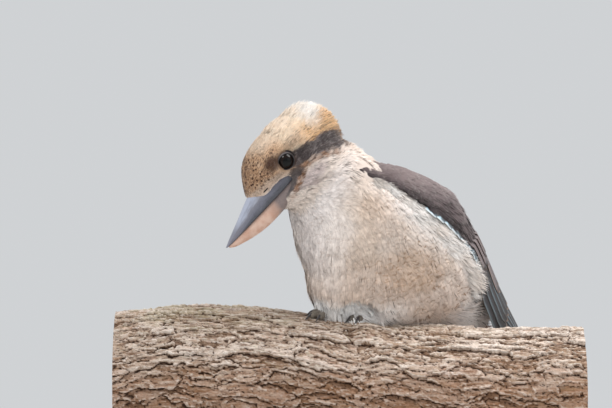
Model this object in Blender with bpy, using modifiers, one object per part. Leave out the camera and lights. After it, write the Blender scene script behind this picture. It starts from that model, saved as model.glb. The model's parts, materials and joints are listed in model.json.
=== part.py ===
"""A laughing kookaburra, life size, hunched on a short cut length of branch, on a plain display stand.

Everything is in metres, +Z up. The row frame has its origin at the centre of the stand's underside.
The bird is shaped in its own frame (x forward, y to its left, z up, origin on the branch at its
claws) and then turned and set down on the branch. The head has a frame of its own between the eyes.
"""

import math

import bmesh
import bpy
import numpy as np
from mathutils import Matrix, Vector

GAP = 0.0003

# Stand
BASE_LENGTH = 0.270
BASE_WIDTH = 0.180
BASE_THICKNESS = 0.016
BASE_CORNER = 0.022
ROD_RADIUS = 0.005
ROD_SPACING = 0.170
ROD_SINK = 0.006

# Branch: its top line sinks away on both sides of one low hump
BRANCH_ENDS = (-0.205, 0.205)
BRANCH_RADIUS = 0.060
BRANCH_BOTTOM = 0.046
HUMP_PLACE = -0.120
HUMP_WIDTH = 0.138
HUMP_HEIGHT = 0.020
BRANCH_STATIONS = 27
BRANCH_SIDES = 22
BRANCH_SWELL = 0.0022
# each knot: place along the branch, degrees round it from the top towards the front, height, spread
KNOTS = (
    (0.016, 34, 0.0045, 0.013),
    (-0.125, 62, 0.0040, 0.020),
    (0.115, 66, 0.0045, 0.022),
    (-0.060, 78, 0.0030, 0.018),
    (0.060, -60, 0.0045, 0.020),
)

# Where the bird's frame stands
BIRD_YAW = 38.0
BRANCH_AXIS_Z = BRANCH_BOTTOM + BRANCH_RADIUS
CLAW_LEVEL = BRANCH_AXIS_Z + BRANCH_RADIUS + 0.016
BIRD_ORIGIN = Vector((-0.015, -0.018, CLAW_LEVEL))

# Head frame: x along the bill, y to the bird's left, z through the crown
EYES_MIDDLE = np.array((0.060, -0.004, 0.127))
HEAD_YAW = -10.0
HEAD_PITCH = -48.0

# Rounded masses that blend into one skin: centre, radii, pitch of the long axis in degrees
BODY_MASSES = {
    "trunk": ((-0.070, 0.0, 0.055), (0.099, 0.061, 0.0575), 40.0),
    "breast": ((-0.022, 0.0, 0.074), (0.050, 0.054, 0.057), 20.0),
    "belly": ((-0.048, 0.0, 0.022), (0.063, 0.054, 0.040), 0.0),
    "rump": ((-0.134, 0.0, 0.020), (0.048, 0.034, 0.028), 44.0),
    "neck": ((0.004, 0.0, 0.110), (0.044, 0.043, 0.043), 40.0),
}
HEAD_MASSES = {
    "cranium": ((-0.014, 0.0, -0.003), (0.046, 0.029, 0.0288), 0.0),
    "forehead": ((0.010, 0.0, 0.000), (0.0225, 0.022, 0.020), 0.0),
    "crown": ((-0.050, 0.0, -0.0045), (0.0255, 0.026, 0.0188), 0.0),
    "face": ((0.010, 0.0, -0.012), (0.028, 0.018, 0.016), 0.0),
    "cheek": ((-0.013, 0.014, -0.018), (0.028, 0.014, 0.017), 0.0),
    "chin": ((0.012, 0.0, -0.024), (0.020, 0.013, 0.009), 0.0),
}
# Shallow hollows round the eye and behind the corner of the mouth
HEAD_HOLLOWS = {
    "eye": ((0.002, 0.0315, 0.001), (0.015, 0.010, 0.011)),
    "gape": ((0.024, 0.0245, -0.0125), (0.022, 0.0090, 0.0090)),
}
# The down parts in front of the left foot
BODY_HOLLOWS = {"left foot": ((-0.008, 0.027, -0.001), (0.017, 0.017, 0.012))}
BODY_BLEND = 0.019
HEAD_BLEND = 0.014
NECK_BLEND = 0.018
HOLLOW_BLEND = 0.006

# Eyes, bill and mouth, in the head frame
EYE_CENTRE = (0.0, 0.0178, 0.0)
EYE_RADIUS = 0.0085
EYE_FORWARD = 16.0
EYE_OPENING = 0.0066
LID_OUT = 0.0050
LID_THICKNESS = 0.0011
MOUTH_LINE = -0.016
# each station of the bill: x, top of the upper half, bottom of the lower half, half width
BILL_STATIONS = (
    (0.006, -0.005, -0.0285, 0.0192),
    (0.013, -0.003, -0.0305, 0.0195),
    (0.024, -0.001, -0.0325, 0.0178),
    (0.036, -0.0015, -0.0325, 0.0155),
    (0.048, -0.0045, -0.0315, 0.0128),
    (0.060, -0.0080, -0.0290, 0.0098),
    (0.072, -0.0112, -0.0250, 0.0066),
    (0.081, -0.0136, -0.0212, 0.0038),
    (0.0875, -0.0155, -0.0180, 0.0014),
)
BILL_LOWER_SHORT = 0.0022
NOSTRIL = (0.0350, 0.0120, -0.0075)
NOSTRIL_SIZE = (0.0042, 0.0030, 0.0011)

# Planes that part torso, neck and head: a point and the way the plane faces, in the bird's frame
NECK_CUT = ((0.004, 0.0, 0.094), (0.70, 0.0, 0.71))
HEAD_CUT = ((0.034, 0.0, 0.112), (0.91, -0.05, 0.41))

# Wing: laid round the trunk's own axis by distance t along it and angle round it from the spine
WING_T = (0.090, 0.070, 0.040, 0.005, -0.035, -0.060, -0.080, -0.110, -0.150)
WING_UPPER = (44.0, 28.0, 15.0, 9.0, 7.0, 7.0, 8.0, 14.0, 26.0)
WING_LOWER = (72.0, 78.0, 76.0, 68.0, 64.0, 70.0, 86.0, 96.0, 80.0)
WING_THICK = (0.0030, 0.0046, 0.0068, 0.0084, 0.0080, 0.0070, 0.0060, 0.0048, 0.0032)
WING_FREE = (0.0580, 0.0350)
WING_FREE_T = (-0.035, -0.150)
WING_EDGE = 0.45
CORE_UNDER = 0.0024
CORE_END = -0.078
CORE_STATIONS = 10
CORE_ACROSS = 6
VANE_THICKNESS = 0.0007
VANE_SINK = 0.0048
VANE_DEPTH_SHARE = 0.72
VANE_TILT = 8.0
# each tier: count, root t at the upper and lower end, tip t likewise, v of the roots, v of the tips, width
WING_TIERS = {
    "primaries": (6, (-0.050, -0.050), (-0.138, -0.150), (0.35, 0.94), (0.22, 0.86), 0.0098),
    "secondaries": (7, (-0.005, -0.008), (-0.098, -0.115), (0.10, 0.92), (0.10, 0.86), 0.0128),
    "greater coverts": (6, (0.030, 0.026), (-0.050, -0.060), (0.10, 0.92), (0.10, 0.90), 0.0145),
    "median coverts": (6, (0.058, 0.054), (-0.008, -0.004), (0.10, 0.92), (0.10, 0.92), 0.0145),
    "lesser coverts": (5, (0.083, 0.078), (0.030, 0.034), (0.14, 0.90), (0.12, 0.90), 0.0145),
}
VANE_WIDTHS = (0.60, 1.0, 0.92, 0.36)
VANE_STEPS = (0.0, 0.42, 0.84, 1.0)

# Tail: pairs of vanes, the middle pair on top
TAIL_ROOT = (-0.134, 0.0, 0.027)
TAIL_PITCH = -50.0
TAIL_LENGTH = 0.155
TAIL_PAIRS = 6
TAIL_STEP_SHORTER = 0.0032
TAIL_SPREAD = 7.0
TAIL_WIDTH = 0.0170
TAIL_DROP = 0.0012
TAIL_THICKNESS = 0.0008
TAIL_CORE = (0.030, 0.074)
TAIL_CORE_HALF = (0.0150, 0.0165)
TAIL_CORE_DEPTH = (0.0110, 0.0050)

# Crest: loose vanes on the crown, in the head frame, row by row towards the nape
CREST_ROWS = ((-0.020, 4, 0.018), (-0.034, 5, 0.020), (-0.048, 6, 0.021), (-0.060, 5, 0.019))
CREST_FAN = 74.0
CREST_WIDTH = 0.0072
CREST_THICKNESS = 0.0008
CREST_SINK = 0.0034
CREST_LIFT = 0.0022

# Feet: where each leg stands on the branch (x along it, degrees from its top towards the front)
FEET = {"left": (0.021, 6.0), "right": (-0.013, 6.0)}
TOE_HEADINGS = (206.0, 221.0, 236.0, 38.0)
TOE_LENGTHS = (0.0200, 0.0255, 0.0215, 0.0165)
TOE_RADIUS = (0.0036, 0.0028)
CLAW_LENGTH = 0.0095
CLAW_RADIUS = (0.0018, 0.0005)
CLAW_SINK = 0.0012
SHANK_RADIUS = 0.0034
SHANK_HEIGHT = 0.021
BARK_BITE = 0.0006

TORSO_VOXEL = 0.0145
HEAD_VOXEL = 0.0080

COLOURS = {
    "breast_down": ((0.72, 0.64, 0.56), 0.85),
    "head_down": ((0.66, 0.50, 0.35), 0.85),
    "wing_vane": ((0.17, 0.13, 0.12), 0.70),
    "tail_vane": ((0.30, 0.19, 0.13), 0.70),
    "bill_dark": ((0.07, 0.08, 0.10), 0.38),
    "bill_pale": ((0.70, 0.46, 0.33), 0.42),
    "eye": ((0.02, 0.012, 0.010), 0.06),
    "foot_skin": ((0.22, 0.19, 0.15), 0.65),
    "claw": ((0.04, 0.035, 0.035), 0.35),
    "bark": ((0.42, 0.33, 0.26), 0.92),
    "stand_wood": ((0.055, 0.035, 0.025), 0.45),
    "stand_metal": ((0.45, 0.42, 0.38), 0.35),
}


def clear_scene():
    for obj in list(bpy.data.objects):
        bpy.data.objects.remove(obj, do_unlink=True)


def new_collection(name, hidden=False):
    made = bpy.data.collections.new(name)
    made.hide_render = hidden
    bpy.context.scene.collection.children.link(made)
    return made


def material(name):
    colour, roughness = COLOURS[name]
    made = bpy.data.materials.get(name) or bpy.data.materials.new(name)
    made.use_nodes = True
    shader = made.node_tree.nodes["Principled BSDF"]
    shader.inputs["Base Color"].default_value = (*colour, 1.0)
    shader.inputs["Roughness"].default_value = roughness
    shader.inputs["Metallic"].default_value = 1.0 if name == "stand_metal" else 0.0
    return made


def mesh_object(name, verts, faces, collection):
    mesh = bpy.data.meshes.new(name)
    mesh.from_pydata([tuple(map(float, v)) for v in verts], [], faces)
    mesh.validate()
    obj = bpy.data.objects.new(name, mesh)
    collection.objects.link(obj)
    return obj


def dress(obj, slot):
    obj.data.materials.clear()
    obj.data.materials.append(material(slot))
    obj.data.shade_smooth()
    obj.data.set_sharp_from_angle(angle=math.radians(42))
    return obj


def evaluated_copy(obj, name, collection):
    """The object's shape as a plain mesh object, in place of the object."""
    graph = bpy.context.evaluated_depsgraph_get()
    mesh = bpy.data.meshes.new_from_object(obj.evaluated_get(graph))
    mesh.name = name
    mesh.transform(obj.matrix_world)
    work = bmesh.new()
    work.from_mesh(mesh)
    bmesh.ops.remove_doubles(work, verts=work.verts, dist=1e-7)
    work.to_mesh(mesh)
    work.free()
    bpy.data.objects.remove(obj, do_unlink=True)
    made = bpy.data.objects.new(name, mesh)
    collection.objects.link(made)
    return made


def keep_largest(obj):
    """Keeps the closed surface that encloses the most, which drops loose scraps and sealed hollows."""
    work = bmesh.new()
    work.from_mesh(obj.data)
    left = set(work.verts)
    groups = []
    while left:
        stack = [left.pop()]
        group = set(stack)
        while stack:
            for edge in stack.pop().link_edges:
                for vert in edge.verts:
                    if vert in left:
                        left.discard(vert)
                        group.add(vert)
                        stack.append(vert)
        groups.append(group)
    if len(groups) > 1:
        spans = [max(v.co.x for v in g) - min(v.co.x for v in g) + len(g) * 1e-6 for g in groups]
        largest = groups[spans.index(max(spans))]
        bmesh.ops.delete(work, geom=[v for v in work.verts if v not in largest], context="VERTS")
    work.to_mesh(obj.data)
    work.free()
    return obj


def boolean(obj, others, operation, collection, solver="MANIFOLD"):
    """Cuts or joins obj with other closed meshes and leaves one plain mesh."""
    helper = bpy.data.collections.new("pieces")
    for other in others:
        helper.objects.link(other)
    change = obj.modifiers.new("change", "BOOLEAN")
    change.operation = operation
    change.solver = solver
    change.operand_type = "COLLECTION"
    change.collection = helper
    bpy.context.view_layer.update()
    made = evaluated_copy(obj, obj.name, collection)
    bpy.data.collections.remove(helper)
    return made


def fuse(name, pieces, collection):
    """One Boolean union of closed pieces, which are then removed."""
    first, rest = pieces[0], pieces[1:]
    first.name = name
    made = boolean(first, rest, "UNION", collection) if rest else first
    for piece in rest:
        bpy.data.objects.remove(piece, do_unlink=True)
    made.name = name
    return made


def turn(yaw, pitch):
    """Columns: forward, left and up of a frame turned by yaw and then pitched up."""
    return np.array(
        Matrix.Rotation(math.radians(yaw), 3, "Z") @ Matrix.Rotation(math.radians(-pitch), 3, "Y")
    )


HEAD_TURN = turn(HEAD_YAW, HEAD_PITCH)
BIRD_TURN = np.array(Matrix.Rotation(math.radians(180.0 + BIRD_YAW), 3, "Z"))


def head_to_bird(points):
    return np.asarray(points, float) @ HEAD_TURN.T + EYES_MIDDLE


def bird_to_part(points):
    return np.asarray(points, float) @ BIRD_TURN.T + np.array(BIRD_ORIGIN)


def head_to_part(points):
    return bird_to_part(head_to_bird(points))


def ellipsoid_distance(points, centre, radii, pitch=0.0):
    local = (points - np.array(centre)) @ turn(0.0, pitch)
    radii = np.array(radii)
    k0 = np.linalg.norm(local / radii, axis=-1)
    k1 = np.linalg.norm(local / (radii * radii), axis=-1)
    return k0 * (k0 - 1.0) / np.maximum(k1, 1e-9)


def smooth_min(a, b, blend):
    overlap = np.maximum(blend - np.abs(a - b), 0.0) / blend
    return np.minimum(a, b) - overlap * overlap * blend * 0.25


def blended(points, masses, blend):
    total = None
    for centre, radii, pitch in masses.values():
        one = ellipsoid_distance(points, centre, radii, pitch)
        total = one if total is None else smooth_min(total, one, blend)
    return total


def skin_distance(points):
    """Distance from the outer surface of the plumage, below zero inside, in the bird's frame."""
    mirrored = points * (1.0, 0.0, 1.0) + np.abs(points) * (0.0, 1.0, 0.0)
    body = blended(mirrored, BODY_MASSES, BODY_BLEND)
    for hollow in BODY_HOLLOWS.values():
        body = -smooth_min(-body, ellipsoid_distance(points, *hollow), HOLLOW_BLEND)
    local = (points - EYES_MIDDLE) @ HEAD_TURN
    local = local * (1.0, 0.0, 1.0) + np.abs(local) * (0.0, 1.0, 0.0)
    head = blended(local, HEAD_MASSES, HEAD_BLEND)
    for hollow in HEAD_HOLLOWS.values():
        head = -smooth_min(-head, ellipsoid_distance(local, *hollow), HOLLOW_BLEND)
    return smooth_min(body, head, NECK_BLEND)


def skin_slope(points, step=0.0004):
    shifts = np.eye(3) * step
    slope = [skin_distance(points + s) - skin_distance(points - s) for s in shifts]
    return np.stack(slope, -1) / (2.0 * step)


def settle_on_skin(points, level, rounds=5):
    for _ in range(rounds):
        slope = skin_slope(points)
        off = skin_distance(points) - level
        points = points - slope * (off / np.maximum((slope * slope).sum(-1), 0.2))[:, None]
    return points


def skin_mesh(name, voxel, collection, level=0.0):
    """The whole skin as an even closed mesh of about that edge length."""
    work = bmesh.new()
    for masses, place in ((BODY_MASSES, np.asarray), (HEAD_MASSES, head_to_bird)):
        for centre, radii, pitch in masses.values():
            for side in (1.0, -1.0) if centre[1] else (1.0,):
                ball = bmesh.ops.create_icosphere(work, subdivisions=3, radius=1.0)["verts"]
                rough = np.array([v.co for v in ball]) * radii
                rough = rough @ turn(0.0, pitch).T + np.array(centre) * (1.0, side, 1.0)
                for vert, co in zip(ball, place(rough)):
                    vert.co = co
    mesh = bpy.data.meshes.new(name)
    work.to_mesh(mesh)
    work.free()
    rough = bpy.data.objects.new(name, mesh)
    collection.objects.link(rough)
    remesh = rough.modifiers.new("even", "REMESH")
    remesh.mode = "VOXEL"
    remesh.voxel_size = voxel
    bpy.context.view_layer.update()
    made = evaluated_copy(rough, name, collection)
    work = bmesh.new()
    work.from_mesh(made.data)
    for _ in range(4):
        bmesh.ops.smooth_vert(
            work, verts=work.verts, factor=0.5, use_axis_x=True, use_axis_y=True, use_axis_z=True
        )
        settled = settle_on_skin(np.array([v.co for v in work.verts]), 0.0)
        for vert, co in zip(work.verts, settled):
            vert.co = co
    bmesh.ops.triangulate(work, faces=work.faces)
    if level:
        settled = settle_on_skin(np.array([v.co for v in work.verts]), level)
        for vert, co in zip(work.verts, settled):
            vert.co = co
    work.to_mesh(made.data)
    work.free()
    return made


def slice_skin(skin, name, collection, ahead_of=None, behind=None):
    """The stretch of the skin ahead of one plane and behind another, capped flat, in the row frame."""
    work = bmesh.new()
    work.from_mesh(skin.data)
    for cut, side in ((ahead_of, 1.0), (behind, -1.0)):
        if cut is None:
            continue
        point, facing = Vector(cut[0]), Vector(cut[1]).normalized()
        found = bmesh.ops.bisect_plane(
            work,
            geom=work.verts[:] + work.edges[:] + work.faces[:],
            plane_co=point + facing * side * GAP / 2,
            plane_no=facing * side,
            clear_inner=True,
            dist=1e-6,
        )
        rim = [e for e in found["geom_cut"] if isinstance(e, bmesh.types.BMEdge)]
        bmesh.ops.contextual_create(work, geom=rim)
    bmesh.ops.triangulate(work, faces=work.faces)
    bmesh.ops.recalc_face_normals(work, faces=work.faces)
    mesh = bpy.data.meshes.new(name)
    work.to_mesh(mesh)
    work.free()
    obj = bpy.data.objects.new(name, mesh)
    collection.objects.link(obj)
    place_in_part(obj)
    return obj


def place_in_part(obj):
    placed = bird_to_part([v.co for v in obj.data.vertices])
    obj.data.vertices.foreach_set("co", placed.astype(np.float32).ravel())
    obj.data.update()


def loft(name, rings, collection):
    """A closed tube through rings of equal count, with flat ends."""
    sides = len(rings[0])
    verts = [p for ring in rings for p in ring]
    faces = []
    for r in range(len(rings) - 1):
        for s in range(sides):
            a, b = r * sides + s, r * sides + (s + 1) % sides
            faces += [(a, b, b + sides), (a, b + sides, a + sides)]
    faces.append(tuple(reversed(range(sides))))
    faces.append(tuple(range(len(verts) - sides, len(verts))))
    obj = mesh_object(name, verts, faces, collection)
    work = bmesh.new()
    work.from_mesh(obj.data)
    bmesh.ops.recalc_face_normals(work, faces=work.faces)
    work.to_mesh(obj.data)
    work.free()
    return obj


def tube(name, points, radii, collection, sides=1):
    """A round limb along points, as a closed mesh."""
    curve = bpy.data.curves.new(name, "CURVE")
    curve.dimensions = "3D"
    curve.bevel_depth = 1.0
    curve.bevel_resolution = sides
    curve.use_fill_caps = True
    spline = curve.splines.new("POLY")
    spline.points.add(len(points) - 1)
    for knot, point, radius in zip(spline.points, points, radii):
        knot.co = (*point, 1.0)
        knot.radius = radius
    obj = bpy.data.objects.new(name, curve)
    collection.objects.link(obj)
    bpy.context.view_layer.update()
    return evaluated_copy(obj, name, collection)


def vane(name, points, normals, width, thickness, tilt, collection):
    """A thin tapered feather blade: both faces split alike, one edge raised by the tilt."""
    points = [Vector(p) for p in points]
    count = len(points)
    verts = []
    for i, (point, normal) in enumerate(zip(points, normals)):
        along = (points[min(i + 1, count - 1)] - points[max(i - 1, 0)]).normalized()
        normal = Vector(normal)
        normal = (normal - along * normal.dot(along)).normalized()
        side = along.cross(normal) * math.cos(tilt) + normal * math.sin(tilt)
        up = side.cross(along)
        half = side * width * VANE_WIDTHS[i] / 2
        deep = up * thickness / 2
        verts += [point - half + deep, point + half + deep, point + half - deep, point - half - deep]
    faces = []
    for i in range(count - 1):
        a, b = 4 * i, 4 * i + 4
        faces += [(a, a + 1, b + 1), (a, b + 1, b)]
        faces += [(a + 3, b + 2, a + 2), (a + 3, b + 3, b + 2)]
        faces += [(a + 1, a + 2, b + 2), (a + 1, b + 2, b + 1)]
        faces += [(a, b + 3, a + 3), (a, b, b + 3)]
    last = 4 * (count - 1)
    faces += [(0, 2, 1), (0, 3, 2), (last, last + 1, last + 2), (last, last + 2, last + 3)]
    obj = mesh_object(name, verts, faces, collection)
    work = bmesh.new()
    work.from_mesh(obj.data)
    bmesh.ops.recalc_face_normals(work, faces=work.faces)
    work.to_mesh(obj.data)
    work.free()
    return obj


TRUNK_CENTRE = np.array(BODY_MASSES["trunk"][0])
TRUNK_AXIS, _, TRUNK_SPINE = turn(0.0, BODY_MASSES["trunk"][2]).T


def trunk_ray(angle, side):
    """The way out from the trunk's axis, in degrees from the spine towards one side."""
    angle = math.radians(angle)
    return TRUNK_SPINE * math.cos(angle) + np.array((0.0, side * math.sin(angle), 0.0))


def skin_reach(t, angle):
    """How far the skin is from the trunk's axis on that ray."""
    start = TRUNK_CENTRE + TRUNK_AXIS * t
    near, far = 0.0, 0.110
    for _ in range(24):
        middle = (near + far) / 2
        inside = skin_distance(start + trunk_ray(angle, 1.0) * middle) < 0
        near, far = (middle, far) if inside else (near, middle)
    return near


def along_wing(t, values):
    return float(np.interp(-t, [-x for x in WING_T], values))


def wing_bed(t, v):
    """Angle and reach of the surface that the wing lies on, v from 0 at its upper edge to 1."""
    upper, lower = along_wing(t, WING_UPPER), along_wing(t, WING_LOWER)
    angle = upper + (lower - upper) * v
    free = float(np.interp(-t, [-WING_FREE_T[0], -WING_FREE_T[1]], WING_FREE))
    free = free if t < WING_FREE_T[0] else 0.0
    return angle, max(skin_reach(t, angle), free)


def wing_thickness(t, v):
    bow = 1.0 - (2.0 * v - 1.0) ** 2
    return along_wing(t, WING_THICK) * (WING_EDGE + (1.0 - WING_EDGE) * bow)


def wing_point(t, v, height, side):
    """A point at a height over the wing's outer surface, and the way out there, in the row frame."""
    angle, bed = wing_bed(t, v)
    ray = trunk_ray(angle, side)
    point = TRUNK_CENTRE + TRUNK_AXIS * t + ray * (bed + wing_thickness(t, v) + height)
    return Vector(bird_to_part(point)), Vector(BIRD_TURN @ ray)


def wing_core(side, collection):
    """The arm of the folded wing, from the bend to where only long vanes go on."""
    rings = []
    for step in range(CORE_STATIONS):
        t = WING_T[0] + (CORE_END - WING_T[0]) * step / (CORE_STATIONS - 1)
        ring = []
        for k in range(CORE_ACROSS):
            v = k / (CORE_ACROSS - 1)
            rim = 0.0006 if k in (0, CORE_ACROSS - 1) else CORE_UNDER
            ring.append(wing_point(t, v, -min(rim, 0.6 * wing_thickness(t, v)), side)[0])
        for k in reversed(range(CORE_ACROSS)):
            v = k / (CORE_ACROSS - 1)
            sunk = -wing_thickness(t, v) - (0.004 if t > WING_FREE_T[0] else 0.0)
            ring.append(wing_point(t, v, sunk, side)[0])
        rings.append(ring)
    return loft("core", rings, collection)


def wing_tier(tier, side, collection):
    count, roots, tips, root_v, tip_v, width = WING_TIERS[tier]
    vanes = []
    pitch = (root_v[1] - root_v[0]) / max(count - 1, 1)
    for i in range(count):
        share = i / (count - 1)
        t0 = roots[0] + (roots[1] - roots[0]) * share
        t1 = tips[0] + (tips[1] - tips[0]) * share ** 0.8
        v0 = root_v[0] + pitch * i
        v1 = tip_v[0] + (tip_v[1] - tip_v[0]) * share
        points, normals = [], []
        for step in VANE_STEPS:
            t, v = t0 + (t1 - t0) * step, v0 + (v1 - v0) * step
            sink = min(VANE_SINK, VANE_DEPTH_SHARE * wing_thickness(t, v))
            point, normal = wing_point(t, v, -sink * (1.0 - step) - VANE_THICKNESS / 2, side)
            points.append(point)
            normals.append(normal)
        tilt = math.radians(VANE_TILT) * side
        vanes.append(vane("vane", points, normals, width, VANE_THICKNESS, tilt, collection))
    return vanes


def make_wing(name, side, skin_cutter, collection):
    pieces = [wing_core(side, collection)]
    for tier in WING_TIERS:
        pieces += wing_tier(tier, side, collection)
    wing = fuse(name, pieces, collection)
    wing = boolean(wing, [skin_cutter], "DIFFERENCE", collection)
    return dress(keep_largest(wing), "wing_vane")


def make_tail(skin_cutter, collection):
    """Twelve long vanes, each pair under the one nearer the middle, joined by a root."""
    ahead, _, up = turn(0.0, -TAIL_PITCH).T
    back = -ahead
    root = np.array(TAIL_ROOT)
    rings = []
    for along, half, depth in zip(TAIL_CORE, TAIL_CORE_HALF, TAIL_CORE_DEPTH):
        middle = root + back * along
        ring = []
        for k in range(12):
            angle = 2 * math.pi * k / 12
            offset = np.array((0.0, half * math.cos(angle), 0.0)) + up * depth / 2 * math.sin(angle)
            ring.append(Vector(bird_to_part(middle + offset - up * 0.0028)))
        rings.append(ring)
    pieces = [loft("core", rings, collection)]
    for pair in range(TAIL_PAIRS):
        for side in (1.0, -1.0):
            fan = math.radians(TAIL_SPREAD * (pair + 0.5) / TAIL_PAIRS) * side
            length = TAIL_LENGTH - TAIL_STEP_SHORTER * pair
            offset = side * (0.0022 + 0.0021 * pair)
            way = back * math.cos(fan) + np.array((0.0, math.sin(fan), 0.0))
            points = []
            for step in VANE_STEPS:
                drop = -TAIL_DROP * (pair + (0.5 if side < 0 else 0.0)) - 0.010 * (step - 0.3) ** 2 * 0.3
                along = TAIL_CORE[0] + 0.006 + (length - TAIL_CORE[0]) * step
                points.append(
                    Vector(bird_to_part(root + way * along + np.array((0, offset, 0)) + up * drop))
                )
            normals = [Vector(BIRD_TURN @ up)] * len(points)
            pieces.append(
                vane("vane", points, normals, TAIL_WIDTH, TAIL_THICKNESS, 0.0, collection)
            )
    tail = fuse("tail", pieces, collection)
    tail = boolean(tail, [skin_cutter], "DIFFERENCE", collection)
    return dress(keep_largest(tail), "tail_vane")


def bill_ring(station, upper, grow):
    """One cross-section of half the bill: a rounded roof or keel over the flat mouth line."""
    x, top, bottom, half = station
    reach = top - MOUTH_LINE if upper else bottom - MOUTH_LINE
    inner = MOUTH_LINE + (GAP / 2 - grow if upper else grow - GAP / 2)
    ring = []
    for k in range(9):
        angle = math.pi * k / 8
        across = math.cos(angle)
        rise = math.sin(angle) ** (0.85 if upper else 0.7)
        ring.append((x, (half + grow) * across, inner + (reach + math.copysign(2 * grow, reach)) * rise))
    return ring


def bill_half(name, upper, collection, grow=0.0):
    stations = [list(s) for s in BILL_STATIONS]
    if not upper:
        stations[-1][0] -= BILL_LOWER_SHORT
    stations[0][0] -= grow
    stations[-1][0] += grow
    rings = [[Vector(p) for p in head_to_part(bill_ring(s, upper, grow))] for s in stations]
    return loft(name, rings, collection)


def head_ball(name, centre, radii, collection, segments=14, rings=10):
    """An ellipsoid in the head frame, centre and radii along the head's axes."""
    work = bmesh.new()
    bmesh.ops.create_uvsphere(work, u_segments=segments, v_segments=rings, radius=1.0)
    for vert in work.verts:
        vert.co = head_to_part(np.array(vert.co) * radii + np.array(centre))
    mesh = bpy.data.meshes.new(name)
    work.to_mesh(mesh)
    work.free()
    obj = bpy.data.objects.new(name, mesh)
    collection.objects.link(obj)
    return obj


def eye_axis(side):
    angle = math.radians(EYE_FORWARD)
    return np.array((math.sin(angle), side * math.cos(angle), 0.0))


def eye_place(side):
    return np.array(EYE_CENTRE) * (1.0, side, 1.0)


def lid_ring(side, collection):
    """The thick rim of the lids round one eye."""
    axis = Vector(HEAD_TURN @ eye_axis(side))
    centre = eye_place(side) + eye_axis(side) * LID_OUT
    bpy.ops.mesh.primitive_torus_add(
        major_segments=16,
        minor_segments=6,
        major_radius=EYE_OPENING + LID_THICKNESS,
        minor_radius=LID_THICKNESS,
    )
    ring = bpy.context.object
    for held in list(ring.users_collection):
        held.objects.unlink(ring)
    collection.objects.link(ring)
    part_axis = Vector(BIRD_TURN @ np.array(axis))
    ring.matrix_world = (
        Matrix.Translation(Vector(head_to_part(centre)))
        @ part_axis.to_track_quat("Z", "Y").to_matrix().to_4x4()
    )
    bpy.context.view_layer.update()
    return evaluated_copy(ring, "lid", collection)


def crest_vanes(collection):
    """Loose vanes over the crown, rooted in it and standing off it towards their tips."""
    vanes = []
    for row, (x, count, length) in enumerate(CREST_ROWS):
        for k in range(count):
            share = (k + 0.5) / count * 2.0 - 1.0
            angle = math.radians(CREST_FAN * share)
            ray = np.array((0.0, math.sin(angle), math.cos(angle)))
            wave = 0.0012 * math.sin(2.3 * k + row)
            points, normals = [], []
            for step in VANE_STEPS:
                back = x + wave - length * step
                start = np.array((back, 0.0, -0.004))
                seed = head_to_bird(start + ray * 0.030)
                on_skin = settle_on_skin(seed[None, :], 0.0)[0]
                out = skin_slope(on_skin[None, :])[0]
                out /= np.linalg.norm(out)
                lift = -CREST_SINK * (1.0 - step) ** 2 + CREST_LIFT * step**1.5
                points.append(Vector(bird_to_part(on_skin + out * lift)))
                normals.append(Vector(BIRD_TURN @ out))
            vanes.append(
                vane("crest", points, normals, CREST_WIDTH, CREST_THICKNESS, 0.0, collection)
            )
    return vanes


def make_head(fine_skin, collection, cutters):
    blank = slice_skin(fine_skin, "head", collection, ahead_of=HEAD_CUT)
    lids = [lid_ring(side, collection) for side in (1.0, -1.0)]
    head = fuse("head", [blank, *lids, *crest_vanes(collection)], collection)
    room = []
    for side in (1.0, -1.0):
        radii = [EYE_RADIUS + GAP] * 3
        room.append(head_ball("eye_room", eye_place(side), radii, cutters, 16, 10))
        window = [eye_place(side) + eye_axis(side) * along for along in (0.004, 0.018)]
        room.append(tube("window", head_to_part(window), [EYE_OPENING - 0.0002] * 2, cutters, 6))
    room += [bill_half("bill_room", upper, cutters, grow=GAP) for upper in (True, False)]
    head = boolean(head, room, "DIFFERENCE", collection)
    return dress(keep_largest(head), "head_down")


def make_bill(collection, cutters):
    upper = bill_half("bill_upper", True, collection)
    slots = []
    for side in (1.0, -1.0):
        centre = np.array(NOSTRIL) * (1.0, side, 1.0)
        slots.append(head_ball("nostril", centre, NOSTRIL_SIZE, cutters, 8, 6))
    upper = boolean(upper, slots, "DIFFERENCE", collection)
    dress(keep_largest(upper), "bill_dark")
    dress(bill_half("bill_lower", False, collection), "bill_pale")


def branch_top(x):
    return CLAW_LEVEL - 0.016 + HUMP_HEIGHT * math.exp(-(((x - HUMP_PLACE) / HUMP_WIDTH) ** 2))


def branch_radius(x, angle):
    """Angle in radians from the top, growing towards the front."""
    swell = math.sin(31.0 * x + 2.0 * angle) + 0.6 * math.sin(57.0 * x - 3.0 * angle + 1.1)
    radius = BRANCH_RADIUS + BRANCH_SWELL * swell * (1.0 - 0.9 * math.cos(angle / 2) ** 6)
    for place, degrees, height, spread in KNOTS:
        turned = (angle - math.radians(degrees) + math.pi) % (2 * math.pi) - math.pi
        away = ((x - place) ** 2 + (turned * BRANCH_RADIUS) ** 2) / spread**2
        radius += height * math.exp(-away)
    return radius


def branch_point(x, angle, lift=0.0):
    reach = branch_radius(x, angle) + lift
    middle = branch_top(x) - BRANCH_RADIUS
    return Vector((x, -reach * math.sin(angle), middle + reach * math.cos(angle)))


def branch_mesh(name, collection, grow=0.0):
    rings = []
    for i in range(BRANCH_STATIONS):
        x = BRANCH_ENDS[0] + (BRANCH_ENDS[1] - BRANCH_ENDS[0]) * i / (BRANCH_STATIONS - 1)
        shift = -grow if i == 0 else grow if i == BRANCH_STATIONS - 1 else 0.0
        ring = []
        for k in range(BRANCH_SIDES):
            point = branch_point(x, 2 * math.pi * k / BRANCH_SIDES, grow)
            ring.append(point + Vector((shift, 0.0, 0.0)))
        rings.append(ring)
    return loft(name, rings, collection)


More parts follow.
